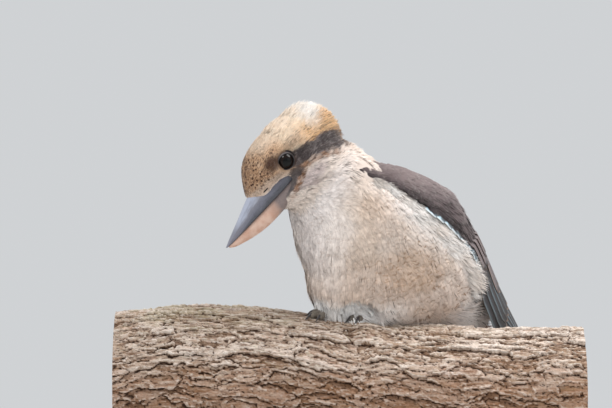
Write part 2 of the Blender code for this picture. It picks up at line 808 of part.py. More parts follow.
def toe_path(foot, heading, length):
    """The middle line of one toe from the ball of the foot, and its claw's, bent over the bark."""
    x0, degrees = FEET[foot]
    start_angle = math.radians(degrees)
    heading = math.radians(heading)
    toe, claw = [], []
    for k in range(6):
        gone = length * k / 5
        radius = TOE_RADIUS[0] + (TOE_RADIUS[1] - TOE_RADIUS[0]) * k / 5
        x = x0 + gone * math.cos(heading)
        angle = start_angle - gone * math.sin(heading) / BRANCH_RADIUS
        knuckle = 0.0006 * math.sin(math.pi * k / 2.5) ** 2
        toe.append(branch_point(x, angle, radius - BARK_BITE + knuckle))
    for k in range(5):
        gone = length - CLAW_SINK + CLAW_LENGTH * k / 4
        rise = 0.0012 * math.sin(math.pi * min(k / 3, 1.0)) + TOE_RADIUS[1] * (1.0 - (k / 4) ** 1.6)
        x = x0 + gone * math.cos(heading)
        angle = start_angle - gone * math.sin(heading) / BRANCH_RADIUS
        claw.append(branch_point(x, angle, rise))
    return toe, claw


def make_foot(foot, branch_cutter, collection, cutters):
    """A leg with its toes as one piece, its claws, and the room that the leg takes in the torso."""
    x0, degrees = FEET[foot]
    ball = branch_point(x0, math.radians(degrees), TOE_RADIUS[0])
    lean = Vector(BIRD_TURN @ np.array((-0.35, 0.0, 1.0))).normalized()
    shank = [ball - lean * 0.001, ball + lean * SHANK_HEIGHT / 2, ball + lean * SHANK_HEIGHT]
    toes, room, claw_rooms = [], [], []
    for grow, made, place in ((0.0, toes, collection), (GAP, room, cutters)):
        radii = [SHANK_RADIUS + grow] * 3
        top = [*shank[:2], shank[2] + lean * grow]
        made.append(tube("shank", top, radii, place))
        for heading, length in zip(TOE_HEADINGS, TOE_LENGTHS):
            path, _ = toe_path(foot, heading, length)
            radii = np.linspace(TOE_RADIUS[0] + grow, TOE_RADIUS[1] + grow, len(path))
            made.append(tube("toe", path, radii, place))
    for number, (heading, length) in enumerate(zip(TOE_HEADINGS, TOE_LENGTHS), 1):
        _, path = toe_path(foot, heading, length)
        radii = np.linspace(CLAW_RADIUS[0], CLAW_RADIUS[1], len(path))
        claw_rooms.append(tube("claw_room", path, radii + GAP, cutters))
        claw = tube(f"claw_{foot}_{number}", path, radii, collection)
        claw = boolean(claw, [branch_cutter], "DIFFERENCE", collection)
        dress(keep_largest(claw), "claw")
    leg = fuse(f"leg_{foot}", toes, collection)
    leg = boolean(leg, [branch_cutter, *claw_rooms], "DIFFERENCE", collection)
    dress(keep_largest(leg), "foot_skin")
    return room + claw_rooms


def make_stand(branch_cutter, collection):
    bpy.ops.mesh.primitive_cube_add(size=1.0, location=(0.0, 0.0, BASE_THICKNESS / 2))
    base = bpy.context.object
    base.name = "stand_base"
    for held in list(base.users_collection):
        held.objects.unlink(base)
    collection.objects.link(base)
    base.data.transform(Matrix.Diagonal((BASE_LENGTH, BASE_WIDTH, BASE_THICKNESS, 1.0)))
    work = bmesh.new()
    work.from_mesh(base.data)
    upright = [e for e in work.edges if abs(e.verts[0].co.z - e.verts[1].co.z) > 0.5 * BASE_THICKNESS]
    bmesh.ops.bevel(
        work, geom=upright, offset=BASE_CORNER, segments=5, profile=0.5, affect="EDGES"
    )
    rim = [e for e in work.edges if min(v.co.z for v in e.verts) > 0.4 * BASE_THICKNESS]
    bmesh.ops.bevel(work, geom=rim, offset=0.002, segments=2, profile=0.5, affect="EDGES")
    work.to_mesh(base.data)
    work.free()
    dress(base, "stand_wood")
    for name, x in (("stand_rod_left", -ROD_SPACING / 2), ("stand_rod_right", ROD_SPACING / 2)):
        foot = BASE_THICKNESS + GAP
        top = branch_top(x) - 2 * BRANCH_RADIUS + ROD_SINK
        bpy.ops.mesh.primitive_cylinder_add(
            vertices=24, radius=ROD_RADIUS, depth=top - foot, location=(x, 0.0, (top + foot) / 2)
        )
        rod = bpy.context.object
        for held in list(rod.users_collection):
            held.objects.unlink(rod)
        collection.objects.link(rod)
        rod = evaluated_copy(rod, name, collection)
        rod = boolean(rod, [branch_cutter], "DIFFERENCE", collection)
        dress(keep_largest(rod), "stand_metal")


def make_bird(branch_cutter, collection, cutters):
    coarse = skin_mesh("coarse_skin", TORSO_VOXEL, cutters)
    skin_cutter = skin_mesh("skin_room", TORSO_VOXEL, cutters, GAP)
    place_in_part(skin_cutter)
    fine = skin_mesh("fine_skin", HEAD_VOXEL, cutters)
    rooms = []
    for foot in FEET:
        rooms += make_foot(foot, branch_cutter, collection, cutters)
    torso = slice_skin(coarse, "torso", collection, behind=NECK_CUT)
    torso = boolean(torso, [branch_cutter, *rooms], "DIFFERENCE", collection)
    dress(keep_largest(torso), "breast_down")
    neck = slice_skin(coarse, "neck", collection, ahead_of=NECK_CUT, behind=HEAD_CUT)
    neck = boolean(
        neck, [bill_half("bill_room", upper, cutters, grow=GAP) for upper in (True, False)],
        "DIFFERENCE", collection,
    )
    dress(keep_largest(neck), "breast_down")
    make_head(fine, collection, cutters)
    make_bill(collection, cutters)
    for name, side in (("eye_left", 1.0), ("eye_right", -1.0)):
        dress(head_ball(name, eye_place(side), [EYE_RADIUS] * 3, collection, 16, 10), "eye")
    make_wing("wing_left", 1.0, skin_cutter, collection)
    make_wing("wing_right", -1.0, skin_cutter, collection)
    make_tail(skin_cutter, collection)


def main():
    clear_scene()
    collection = new_collection("kookaburra")
    cutters = new_collection("cutters", hidden=True)
    dress(branch_mesh("perch", collection), "bark")
    branch_cutter = branch_mesh("branch_room", cutters, grow=GAP)
    make_stand(branch_cutter, collection)
    make_bird(branch_cutter, collection, cutters)
    for obj in cutters.objects:
        obj.hide_render = True
        obj.display_type = "WIRE"


main()
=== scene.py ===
# A laughing kookaburra on a cut length of branch and a plain stand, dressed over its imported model.
# The bird has its own frame (x forward, y to its left, z up) and the head another between the eyes.
# One skin lies under the feathers, Geometry Nodes lay the small feathers on it, and the long
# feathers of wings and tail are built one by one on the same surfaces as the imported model's.

import contextlib
import functools
import json
import math

import bmesh
import bpy
import numpy as np
from mathutils import Matrix, Vector

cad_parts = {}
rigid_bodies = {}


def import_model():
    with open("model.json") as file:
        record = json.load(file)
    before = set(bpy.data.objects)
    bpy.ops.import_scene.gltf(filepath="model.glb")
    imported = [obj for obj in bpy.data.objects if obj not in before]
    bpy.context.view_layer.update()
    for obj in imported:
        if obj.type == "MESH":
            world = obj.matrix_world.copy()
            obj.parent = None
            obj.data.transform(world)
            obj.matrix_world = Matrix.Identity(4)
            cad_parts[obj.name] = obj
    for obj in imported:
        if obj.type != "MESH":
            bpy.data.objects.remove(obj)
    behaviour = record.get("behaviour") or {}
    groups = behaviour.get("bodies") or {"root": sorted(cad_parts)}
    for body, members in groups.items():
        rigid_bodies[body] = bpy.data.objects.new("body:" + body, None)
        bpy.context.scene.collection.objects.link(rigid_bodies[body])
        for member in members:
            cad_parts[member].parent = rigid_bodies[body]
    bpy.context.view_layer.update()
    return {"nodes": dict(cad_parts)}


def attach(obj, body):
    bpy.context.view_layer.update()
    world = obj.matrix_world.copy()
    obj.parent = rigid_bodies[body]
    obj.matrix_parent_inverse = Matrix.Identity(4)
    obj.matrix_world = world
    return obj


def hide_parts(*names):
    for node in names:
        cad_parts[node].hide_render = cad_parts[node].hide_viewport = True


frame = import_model()

# Branch and stand
BRANCH_ENDS = (-0.205, 0.205)
BRANCH_RADIUS = 0.060
BRANCH_BOTTOM = 0.046
HUMP_PLACE = -0.120
HUMP_WIDTH = 0.138
HUMP_HEIGHT = 0.020
BRANCH_SWELL = 0.0022
# each knot: place along the branch, degrees round it from the top towards the front, height, spread
KNOTS = (
    (0.016, 34, 0.0045, 0.013),
    (-0.125, 62, 0.0040, 0.020),
    (0.115, 66, 0.0045, 0.022),
    (-0.060, 78, 0.0030, 0.018),
    (0.060, -60, 0.0045, 0.020),
)
BARK_STATIONS = 340
BARK_SIDES = 262
# plates of bark: length, width, seed, step in height, lean to the ground, width and depth of the cracks
BARK_PLATES = (
    (0.052, 0.0130, 51, 0.0026, 0.0013, 0.07, 0.0013),
    (0.021, 0.0056, 61, 0.0015, 0.0008, 0.10, 0.0007),
    (0.008, 0.0025, 81, 0.0012, 0.0004, 0.16, 0.0004),
)
# how the plates' borders wander: size of the bends, how far along and across the branch, seed
BARK_BENDS = ((0.030, 0.030, 0.010, 31), (0.009, 0.010, 0.0030, 41), (0.0026, 0.005, 0.0018, 45))

# Where the bird's frame stands, and the head in it
BIRD_YAW = 38.0
CLAW_LEVEL = BRANCH_BOTTOM + 2 * BRANCH_RADIUS + 0.016
BIRD_ORIGIN = np.array((-0.015, -0.018, CLAW_LEVEL))
EYES_MIDDLE = np.array((0.060, -0.004, 0.127))
HEAD_YAW = -10.0
HEAD_PITCH = -48.0

# Rounded masses that blend into one skin: centre, radii, pitch of the long axis in degrees
BODY_MASSES = {
    "trunk": ((-0.070, 0.0, 0.055), (0.099, 0.061, 0.0575), 40.0),
    "breast": ((-0.022, 0.0, 0.074), (0.050, 0.054, 0.057), 20.0),
    "belly": ((-0.048, 0.0, 0.022), (0.063, 0.054, 0.040), 0.0),
    "rump": ((-0.134, 0.0, 0.020), (0.048, 0.034, 0.028), 44.0),
    "neck": ((0.004, 0.0, 0.110), (0.044, 0.043, 0.043), 40.0),
}
HEAD_MASSES = {
    "cranium": ((-0.014, 0.0, -0.003), (0.046, 0.029, 0.0288), 0.0),
    "forehead": ((0.010, 0.0, 0.000), (0.0225, 0.022, 0.020), 0.0),
    "crown": ((-0.050, 0.0, -0.0045), (0.0255, 0.026, 0.0188), 0.0),
    "face": ((0.010, 0.0, -0.012), (0.028, 0.018, 0.016), 0.0),
    "cheek": ((-0.013, 0.014, -0.018), (0.028, 0.014, 0.017), 0.0),
    "chin": ((0.012, 0.0, -0.024), (0.020, 0.013, 0.009), 0.0),
    "bill root": ((0.021, 0.0, -0.0052), (0.0175, 0.0115, 0.0074), 0.0),
}
HEAD_HOLLOWS = {
    "eye": ((0.002, 0.0315, 0.001), (0.015, 0.010, 0.011)),
    "gape": ((0.024, 0.0245, -0.0125), (0.022, 0.0090, 0.0090)),
}
BODY_HOLLOWS = {"left foot": ((-0.008, 0.027, -0.001), (0.017, 0.017, 0.012))}
BODY_BLEND = 0.019
HEAD_BLEND = 0.014
NECK_BLEND = 0.018
HOLLOW_BLEND = 0.006
SKIN_SPACING = 0.0019

# Eyes and bill, in the head frame
EYE_CENTRE = (0.0, 0.0178, 0.0)
EYE_RADIUS = 0.0085
EYE_FORWARD = 16.0
EYE_OPENING = 0.0071
LID_WIDTH = 0.0012
MOUTH_LINE = -0.016
BILL_STATIONS = (
    (0.006, -0.005, -0.0285, 0.0192),
    (0.013, -0.003, -0.0305, 0.0195),
    (0.024, -0.001, -0.0325, 0.0178),
    (0.036, -0.0015, -0.0325, 0.0155),
    (0.048, -0.0045, -0.0315, 0.0128),
    (0.060, -0.0080, -0.0290, 0.0098),
    (0.072, -0.0112, -0.0250, 0.0066),
    (0.081, -0.0136, -0.0212, 0.0038),
    (0.0875, -0.0155, -0.0180, 0.0014),
)
BILL_LOWER_SHORT = 0.0022
NOSTRIL_ENDS = np.array(((0.0342, 0.0128, -0.0051), (0.0280, 0.0171, -0.0044)))

# Wing: laid round the trunk's own axis by distance t along it and angle round it from the spine
WING_T = (0.100, 0.090, 0.070, 0.040, 0.005, -0.035, -0.060, -0.080, -0.110, -0.150)
WING_UPPER = (70.0, 50.0, 29.0, 15.0, 9.0, 7.0, 7.0, 8.0, 14.0, 26.0)
WING_LOWER = (90.0, 84.0, 77.0, 74.0, 68.0, 64.0, 70.0, 86.0, 96.0, 80.0)
WING_THICK = (0.0026, 0.0034, 0.0048, 0.0068, 0.0084, 0.0080, 0.0070, 0.0060, 0.0048, 0.0032)
WING_FREE = (0.0580, 0.0350)
WING_FREE_T = (-0.035, -0.150)
WING_EDGE = 0.45
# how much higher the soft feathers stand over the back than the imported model's plain wing, by t
SWELL_T = (-0.085, -0.070, -0.045, -0.015, 0.015, 0.032, 0.045, 0.065, 0.090)
WING_SWELL = (0.0, 0.0008, 0.0020, 0.0024, 0.0030, 0.0012, -0.0010, -0.0036, -0.0060)

# Tail, from its root in the bird's frame
TAIL_ROOT = np.array((-0.134, 0.0, 0.027))
TAIL_PITCH = -50.0
TAIL_LENGTH = 0.155
TAIL_PAIRS = 6
TAIL_SPREAD = 7.0
TAIL_VANE_WIDTH = 0.0172
TAIL_VANE_CURL = 0.03
FIRST_TAIL_SEED = 900

# Feet: where each leg stands on the branch (x along it, degrees from its top towards the front)
FEET = {"left": (0.021, 6.0), "right": (-0.013, 6.0)}
TOE_HEADINGS = (206.0, 221.0, 236.0, 38.0)
TOE_LENGTHS = (0.0200, 0.0255, 0.0215, 0.0165)
TOE_RADIUS = (0.0036, 0.0028)
CLAW_LENGTH = 0.0095
CLAW_RADIUS = 0.0018
CLAW_TIP = 0.00025
KNUCKLE_HEIGHT = 0.0006
TOE_SUNK = 0.0004
FOOT_SPACING = 0.00048
SCUTE_LENGTH = 0.0021
SHANK_RADIUS = 0.0034
SHANK_HEIGHT = 0.021

# Camera: metres of the part for each pixel of the photo, distance, degrees that it looks up
PIXEL = 0.00088
PHOTO_WIDTH = 612
SENSOR_WIDTH = 36.0
CAMERA_AWAY = 3.0
CAMERA_UP = 3.6
CAMERA_AIM = Vector((-0.03788, -0.008, 0.27528))


def shade(red, green, blue):
    """A colour as the eye reads it, 0 to 255, turned into the light it gives back."""
    part = np.array((red, green, blue), float) / 255.0
    return np.where(part < 0.04045, part / 12.92, ((part + 0.055) / 1.055) ** 2.4)


CREAM = shade(230, 216, 206)
WARM = shade(206, 178, 150)
MAUVE = shade(206, 194, 190)
WHITE = shade(240, 236, 234)
GOLD = shade(222, 178, 128)
FOREHEAD = shade(224, 184, 148)
STRIPE = shade(76, 67, 67)
RUST = shade(164, 120, 90)
MANTLE = shade(118, 103, 101)
GAPE = shade(78, 72, 76)
SPECKLE = shade(70, 44, 33)
RUFOUS = shade(150, 92, 58)
PALE_BLUE = shade(176, 206, 220)
TEAL = shade(104, 152, 172)
DARK_VANE = shade(48, 40, 42)
TAN_EDGE = shade(208, 180, 162)
PALE_WEB = shade(92, 80, 80)


def ease(value, low, high):
    share = np.clip((value - low) / (high - low), 0.0, 1.0)
    return share * share * (3.0 - 2.0 * share)


def scramble(cells, seed):
    """A repeatable number from 0 to 1 for each whole-numbered cell."""
    mixed = cells[..., 0] * 73856093 ^ cells[..., 1] * 19349663 ^ cells[..., 2] * 83492791
    mixed = (mixed ^ (seed * 40503)) & 0x7FFFFFFF
    mixed = ((mixed ^ (mixed >> 13)) * 1274126177) & 0x7FFFFFFF
    mixed = ((mixed ^ (mixed >> 15)) * 461845907) & 0x7FFFFFFF
    return ((mixed >> 7) & 0xFFFF) / 65535.0


def soft_noise(points, size, seed=0):
    """Smooth noise from 0 to 1 whose lumps are about that size."""
    scaled = np.asarray(points, float) / size
    cells = np.floor(scaled).astype(np.int64)
    part = scaled - cells
    part = part * part * (3.0 - 2.0 * part)
    total = 0.0
    for corner in range(8):
        step = np.array((corner & 1, corner >> 1 & 1, corner >> 2 & 1))
        weight = np.where(step == 1, part, 1.0 - part).prod(-1)
        total = total + weight * scramble(cells + step, seed)
    return total


def cell_gaps(points, seed=0):
    """Distance to the border between two cells, a number for each, and the way from its middle."""
    cells = np.floor(points).astype(np.int64)
    first = np.full(points.shape[:-1], 9.0)
    second = first.copy()
    mark = first * 0.0
    offset = points * 0.0
    for corner in range(27):
        near = cells + np.array((corner % 3 - 1, corner // 3 % 3 - 1, corner // 9 - 1))
        middle = near + np.stack([scramble(near, seed + k) for k in (1, 2, 3)], -1)
        away = np.linalg.norm(middle - points, axis=-1)
        closer = away < first
        second = np.where(closer, first, np.minimum(second, away))
        mark = np.where(closer, scramble(near, seed + 4), mark)
        offset = np.where(closer[..., None], points - middle, offset)
        first = np.where(closer, away, first)
    return second - first, mark, offset


def turn(yaw, pitch):
    """Columns: forward, left and up of a frame turned by yaw and then pitched up."""
    return np.array(
        Matrix.Rotation(math.radians(yaw), 3, "Z") @ Matrix.Rotation(math.radians(-pitch), 3, "Y")
    )


HEAD_TURN = turn(HEAD_YAW, HEAD_PITCH)
BIRD_TURN = np.array(Matrix.Rotation(math.radians(180.0 + BIRD_YAW), 3, "Z"))
TRUNK_CENTRE = np.array(BODY_MASSES["trunk"][0])
TRUNK_AXIS, _, TRUNK_SPINE = turn(0.0, BODY_MASSES["trunk"][2]).T


def head_to_bird(points):
    return np.asarray(points, float) @ HEAD_TURN.T + EYES_MIDDLE


def bird_to_head(points):
    return (np.asarray(points, float) - EYES_MIDDLE) @ HEAD_TURN


def bird_to_part(points):
    return np.asarray(points, float) @ BIRD_TURN.T + BIRD_ORIGIN


def part_to_bird(points):
    return (np.asarray(points, float) - BIRD_ORIGIN) @ BIRD_TURN


def head_to_part(points):
    return bird_to_part(head_to_bird(points))


def mirrored(points):
    return points * (1.0, 0.0, 1.0) + np.abs(points) * (0.0, 1.0, 0.0)


def ellipsoid_distance(points, centre, radii, pitch=0.0):
    local = (points - np.array(centre)) @ turn(0.0, pitch)
    radii = np.array(radii)
    k0 = np.linalg.norm(local / radii, axis=-1)
    k1 = np.linalg.norm(local / (radii * radii), axis=-1)
    return k0 * (k0 - 1.0) / np.maximum(k1, 1e-9)


def smooth_min(a, b, blend):
    overlap = np.maximum(blend - np.abs(a - b), 0.0) / blend
    return np.minimum(a, b) - overlap * overlap * blend * 0.25


def blended(points, masses, blend):
    total = None
    for centre, radii, pitch in masses.values():
        one = ellipsoid_distance(points, centre, radii, pitch)
        total = one if total is None else smooth_min(total, one, blend)
    return total


def body_and_head(points):
    body = blended(mirrored(points), BODY_MASSES, BODY_BLEND)
    for hollow in BODY_HOLLOWS.values():
        body = -smooth_min(-body, ellipsoid_distance(points, *hollow), HOLLOW_BLEND)
    local = mirrored(bird_to_head(points))
    head = blended(local, HEAD_MASSES, HEAD_BLEND)
    for hollow in HEAD_HOLLOWS.values():
        head = -smooth_min(-head, ellipsoid_distance(local, *hollow), HOLLOW_BLEND)
    return body, head


def skin_distance(points):
    """Distance from the outer surface of the plumage, below zero inside, in the bird's frame."""
    return smooth_min(*body_and_head(points), NECK_BLEND)


def skin_slope(points, step=0.0004):
    shifts = np.eye(3) * step
    slope = [skin_distance(points + s) - skin_distance(points - s) for s in shifts]
    return np.stack(slope, -1) / (2.0 * step)


def settle_on_skin(points, level, rounds=5):
    for _ in range(rounds):
        slope = skin_slope(points)
        off = skin_distance(points) - level
        points = points - slope * (off / np.maximum((slope * slope).sum(-1), 0.2))[:, None]
    return points


def unit(vectors):
    return vectors / np.maximum(np.linalg.norm(vectors, axis=-1, keepdims=True), 1e-12)


def trunk_place(points):
    """Distance along the trunk's axis, and degrees round it from the spine, the left side positive."""
    off = points - TRUNK_CENTRE
    return off @ TRUNK_AXIS, np.degrees(np.arctan2(off[..., 1], off @ TRUNK_SPINE))


def headness(points, low=-0.004, high=0.008):
    """1 where the head's own masses make the surface, 0 on the body."""
    body, head = body_and_head(points)
    return ease(body - head, low, high)


CREASE_X = (-0.024, -0.0186, -0.0102, -0.0014, 0.0067, 0.0145, 0.020)
CREASE_Z = (-0.0400, -0.0375, -0.0335, -0.0304, -0.0267, -0.0244, -0.0235)


def cheek_crease(local):
    """1 along the fold between the cheek and the throat, in the head frame."""
    off = (local[:, 2] - np.interp(local[:, 0], CREASE_X, CREASE_Z)) / 0.0017
    ends = ease(local[:, 0], -0.026, -0.016) * ease(-local[:, 0], -0.019, -0.012)
    return np.exp(-off * off) * ends * ease(np.abs(local[:, 1]), 0.014, 0.020)


def tuft_share(local):
    """1 on the top of the crown, where the feathers stand up."""
    back = -local[:, 0]
    return ease(back, 0.026, 0.038) * (1.0 - ease(back, 0.044, 0.058)) * ease(local[:, 2], 0.0, 0.009)


def coat_depth(points):
    """How far the skin lies inside the tips of the feathers."""
    local = bird_to_head(points)
    back, low = -local[:, 0], -local[:, 2]
    rear_end = ease(back, 0.050, 0.070) * (1.0 - ease(low, 0.010, 0.022))
    nape = ease(back, 0.050, 0.064) * ease(low, 0.050, 0.062) * (1.0 - ease(low, 0.070, 0.090))
    on_head = 0.0010 + 0.0014 * ease(back, -0.004, 0.030) + 0.0068 * rear_end
    bumps = soft_noise(points, 0.0085, 77) - 0.5
    t, angle = trunk_place(points)
    shoulder = ease(t, 0.064, 0.084) * (1.0 - ease(np.abs(angle), 48.0, 66.0))
    body = 0.0028 + 0.0014 * bumps + 0.0030 * np.maximum(nape, shoulder)
    depth = body + (on_head + 0.0005 * bumps - body) * headness(points)
    return depth + 0.0012 * cheek_crease(local)


def put_object(name, mesh):
    obj = bpy.data.objects.new(name, mesh)
    bpy.context.scene.collection.objects.link(obj)
    return obj


def mesh_object(name, verts, faces):
    mesh = bpy.data.meshes.new(name)
    mesh.from_pydata([tuple(map(float, v)) for v in verts], [], faces)
    mesh.validate()
    return put_object(name, mesh)


@contextlib.contextmanager
def edited(mesh):
    work = bmesh.new()
    work.from_mesh(mesh)
    yield work
    work.to_mesh(mesh)
    work.free()


def face_outward(work):
    bmesh.ops.recalc_face_normals(work, faces=work.faces)


def relax(work):
    axes = {"use_axis_x": True, "use_axis_y": True, "use_axis_z": True}
    bmesh.ops.smooth_vert(work, verts=work.verts, factor=0.5, **axes)


def tidy_faces(obj, merge=1e-6):
    """Merges doubles and turns all faces outward."""
    with edited(obj.data) as work:
        bmesh.ops.remove_doubles(work, verts=work.verts, dist=merge)
        face_outward(work)
    return obj


def tube_faces(gaps, sides, first=0):
    """Faces between rings of equal count that follow one another."""
    faces = []
    for start in range(first, first + gaps * sides, sides):
        for s in range(sides):
            a, b = start + s, start + (s + 1) % sides
            faces.append((a, b, b + sides, a + sides))
    return faces


def slab_faces(rows, columns):
    """Faces of a sheet of places, then of the sheet that backs it and the walls round their rim."""
    size = rows * columns
    index = np.arange(size).reshape(rows, columns)
    corners = index[:-1, :-1], index[:-1, 1:], index[1:, 1:], index[1:, :-1]
    sheet = np.stack(corners, -1).reshape(-1, 4)
    rim = np.concatenate([index[0, :], index[1:, -1], index[-1, -2::-1], index[-2:0:-1, 0]])
    after = np.roll(rim, -1)
    walls = np.stack([rim, size + rim, size + after, after], -1)
    return sheet, np.concatenate([sheet, sheet[:, ::-1] + size, walls])


def places(mesh):
    flat = np.zeros(len(mesh.vertices) * 3, np.float32)
    mesh.vertices.foreach_get("co", flat)
    return flat.reshape(-1, 3).astype(float)


def set_places(mesh, points):
    mesh.vertices.foreach_set("co", np.asarray(points, np.float32).ravel())
    mesh.update()


def keep_floats(mesh, name, values):
    layer = mesh.attributes.new(name, "FLOAT", "POINT")
    layer.data.foreach_set("value", np.asarray(values, np.float32).ravel())


def keep_vectors(mesh, name, values):
    layer = mesh.attributes.new(name, "FLOAT_VECTOR", "POINT")
    layer.data.foreach_set("vector", np.asarray(values, np.float32).ravel())


def keep_colours(mesh, name, values):
    layer = mesh.attributes.new(name, "FLOAT_COLOR", "POINT")
    full = np.concatenate([values, np.ones((len(values), 1))], 1)
    layer.data.foreach_set("color", full.astype(np.float32).ravel())


def keep_bake_map(mesh, spots):
    """Each corner's place on the picture that the markings are baked into."""
    corners = np.zeros(len(mesh.loops), np.int32)
    mesh.loops.foreach_get("vertex_index", corners)
    layout = mesh.uv_layers.new(name="OFBake")
    layout.uv.foreach_set("vector", np.clip(spots, 0.002, 0.998)[corners].astype(np.float32).ravel())


def read_floats(mesh, name, width=1):
    layer = mesh.attributes[name]
    flat = np.zeros(len(layer.data) * width, np.float32)
    layer.data.foreach_get("vector" if width == 3 else "value", flat)
    return flat.reshape(-1, width) if width > 1 else flat


def plain_copy(obj, name):
    """The evaluated shape as a plain mesh object, in place of obj."""
    bpy.context.view_layer.update()
    graph = bpy.context.evaluated_depsgraph_get()
    mesh = bpy.data.meshes.new_from_object(obj.evaluated_get(graph))
    mesh.name = name
    bpy.data.objects.remove(obj, do_unlink=True)
    return put_object(name, mesh)


def evenly_meshed(obj, spacing, name):
    change = obj.modifiers.new("even", "REMESH")
    change.mode = "VOXEL"
    change.voxel_size = spacing
    return plain_copy(obj, name)


def joined(parts):
    bpy.ops.object.select_all(action="DESELECT")
    for part in parts:
        part.select_set(True)
    bpy.context.view_layer.objects.active = parts[0]
    bpy.ops.object.join()
    return parts[0]


def finish_piece(obj, material, slot, *nodes):
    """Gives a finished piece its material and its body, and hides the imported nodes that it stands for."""
    if material is not None:
        obj.data.materials.clear()
        obj.data.materials.append(material)
    obj.data.shade_smooth()
    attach(obj, "root")
    if nodes:
        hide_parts(*nodes)
    return obj


# Shader helpers

FEATHER_SHEEN = 0.12
SOFT_SHINE = 0.2
VANE_SHINE = 0.4
WHOLE_TURN = 2.0 * math.pi


def is_socket(value):
    return isinstance(value, bpy.types.NodeSocket)


def give(socket, value):
    """Links another socket to this one, or sets its value."""
    if is_socket(value):
        socket.id_data.links.new(value, socket)
    else:
        socket.default_value = value


def node(tree, kind, inputs=None, **settings):
    made = tree.nodes.new(kind)
    for name, value in settings.items():
        setattr(made, name, value)
    for name, value in (inputs or {}).items():
        give(made.inputs[name], value)
    return made


def tree_of(*values):
    return next(value for value in values if is_socket(value)).id_data


def maths(operation, a, b=0.0, c=0.0, clamp=False):
    inputs = dict(enumerate((a, b, c)))
    return node(tree_of(a, b, c), "ShaderNodeMath", inputs, operation=operation, use_clamp=clamp).outputs[0]


def plus(a, b):
    return maths("ADD", a, b)


def times(a, b):
    return maths("MULTIPLY", a, b)


def wander(value, reach, middle=0.5):
    """A noise's swing to either side of its middle, as wide as reach."""
    return times(maths("SUBTRACT", value, middle), reach)


def ramp(value, low, high, out_low=0.0, out_high=1.0):
    inputs = dict(enumerate((value, low, high, out_low, out_high)))
    return node(value.id_data, "ShaderNodeMapRange", inputs, interpolation_type="SMOOTHSTEP").outputs[0]


def mix(share, a, b, kind="MIX"):
    colours = [value if is_socket(value) else (*map(float, value), 1.0) for value in (a, b)]
    inputs = {0: share, 6: colours[0], 7: colours[1]}
    return node(tree_of(share, a, b), "ShaderNodeMix", inputs, data_type="RGBA", blend_type=kind).outputs[2]


def toned(colour, value):
    """A colour made lighter or darker by a value."""
    tree = value.id_data
    grey = node(tree, "ShaderNodeCombineColor", {"Red": value, "Green": value, "Blue": value})
    return mix(1.0, colour, grey.outputs[0], "MULTIPLY")


def attribute(tree, name, part="Fac"):
    return node(tree, "ShaderNodeAttribute", attribute_name=name, attribute_type="GEOMETRY").outputs[part]


def split_attribute(tree, name):
    return node(tree, "ShaderNodeSeparateXYZ", {"Vector": attribute(tree, name, "Vector")}).outputs


def object_place(tree, scale=(1.0, 1.0, 1.0)):
    where = node(tree, "ShaderNodeTexCoord").outputs["Object"]
    return node(tree, "ShaderNodeMapping", {"Vector": where, "Scale": scale}).outputs[0]


def noise(place, scale, detail=2.0, rough=0.5, twist=0.0):
    inputs = {"Vector": place, "Scale": scale, "Detail": detail, "Roughness": rough, "Distortion": twist}
    return node(place.id_data, "ShaderNodeTexNoise", inputs).outputs["Fac"]


def new_material(name, roughness=0.5, metallic=0.0):
    made = bpy.data.materials.new(name)
    made.use_nodes = True
    shader = made.node_tree.nodes["Principled BSDF"]
    shader.inputs["Roughness"].default_value = roughness
    shader.inputs["Metallic"].default_value = metallic
    return made, made.node_tree, shader


def add_bump(shader, height, strength, distance):
    inputs = {"Height": height, "Strength": strength, "Distance": distance}
    give(shader.inputs["Normal"], node(shader.id_data, "ShaderNodeBump", inputs).outputs[0])


def dress(shader, colour, grain, rough, bump):
    """Gives a shader its colour, and the roughness and bump that follow one grain."""
    give(shader.inputs["Base Color"], colour)
    give(shader.inputs["Roughness"], ramp(grain, 0.2, 0.8, *rough))
    add_bump(shader, grain, *bump)


def new_group(name, inputs, outputs, kind="ShaderNodeTree"):
    tree = bpy.data.node_groups.new(name, kind)
    for label, sort, value in inputs:
        socket = tree.interface.new_socket(label, in_out="INPUT", socket_type=sort)
        if value is not None:
            socket.default_value = value
    for label, sort in outputs:
        tree.interface.new_socket(label, in_out="OUTPUT", socket_type=sort)
    return tree, tree.nodes.new("NodeGroupInput"), tree.nodes.new("NodeGroupOutput")


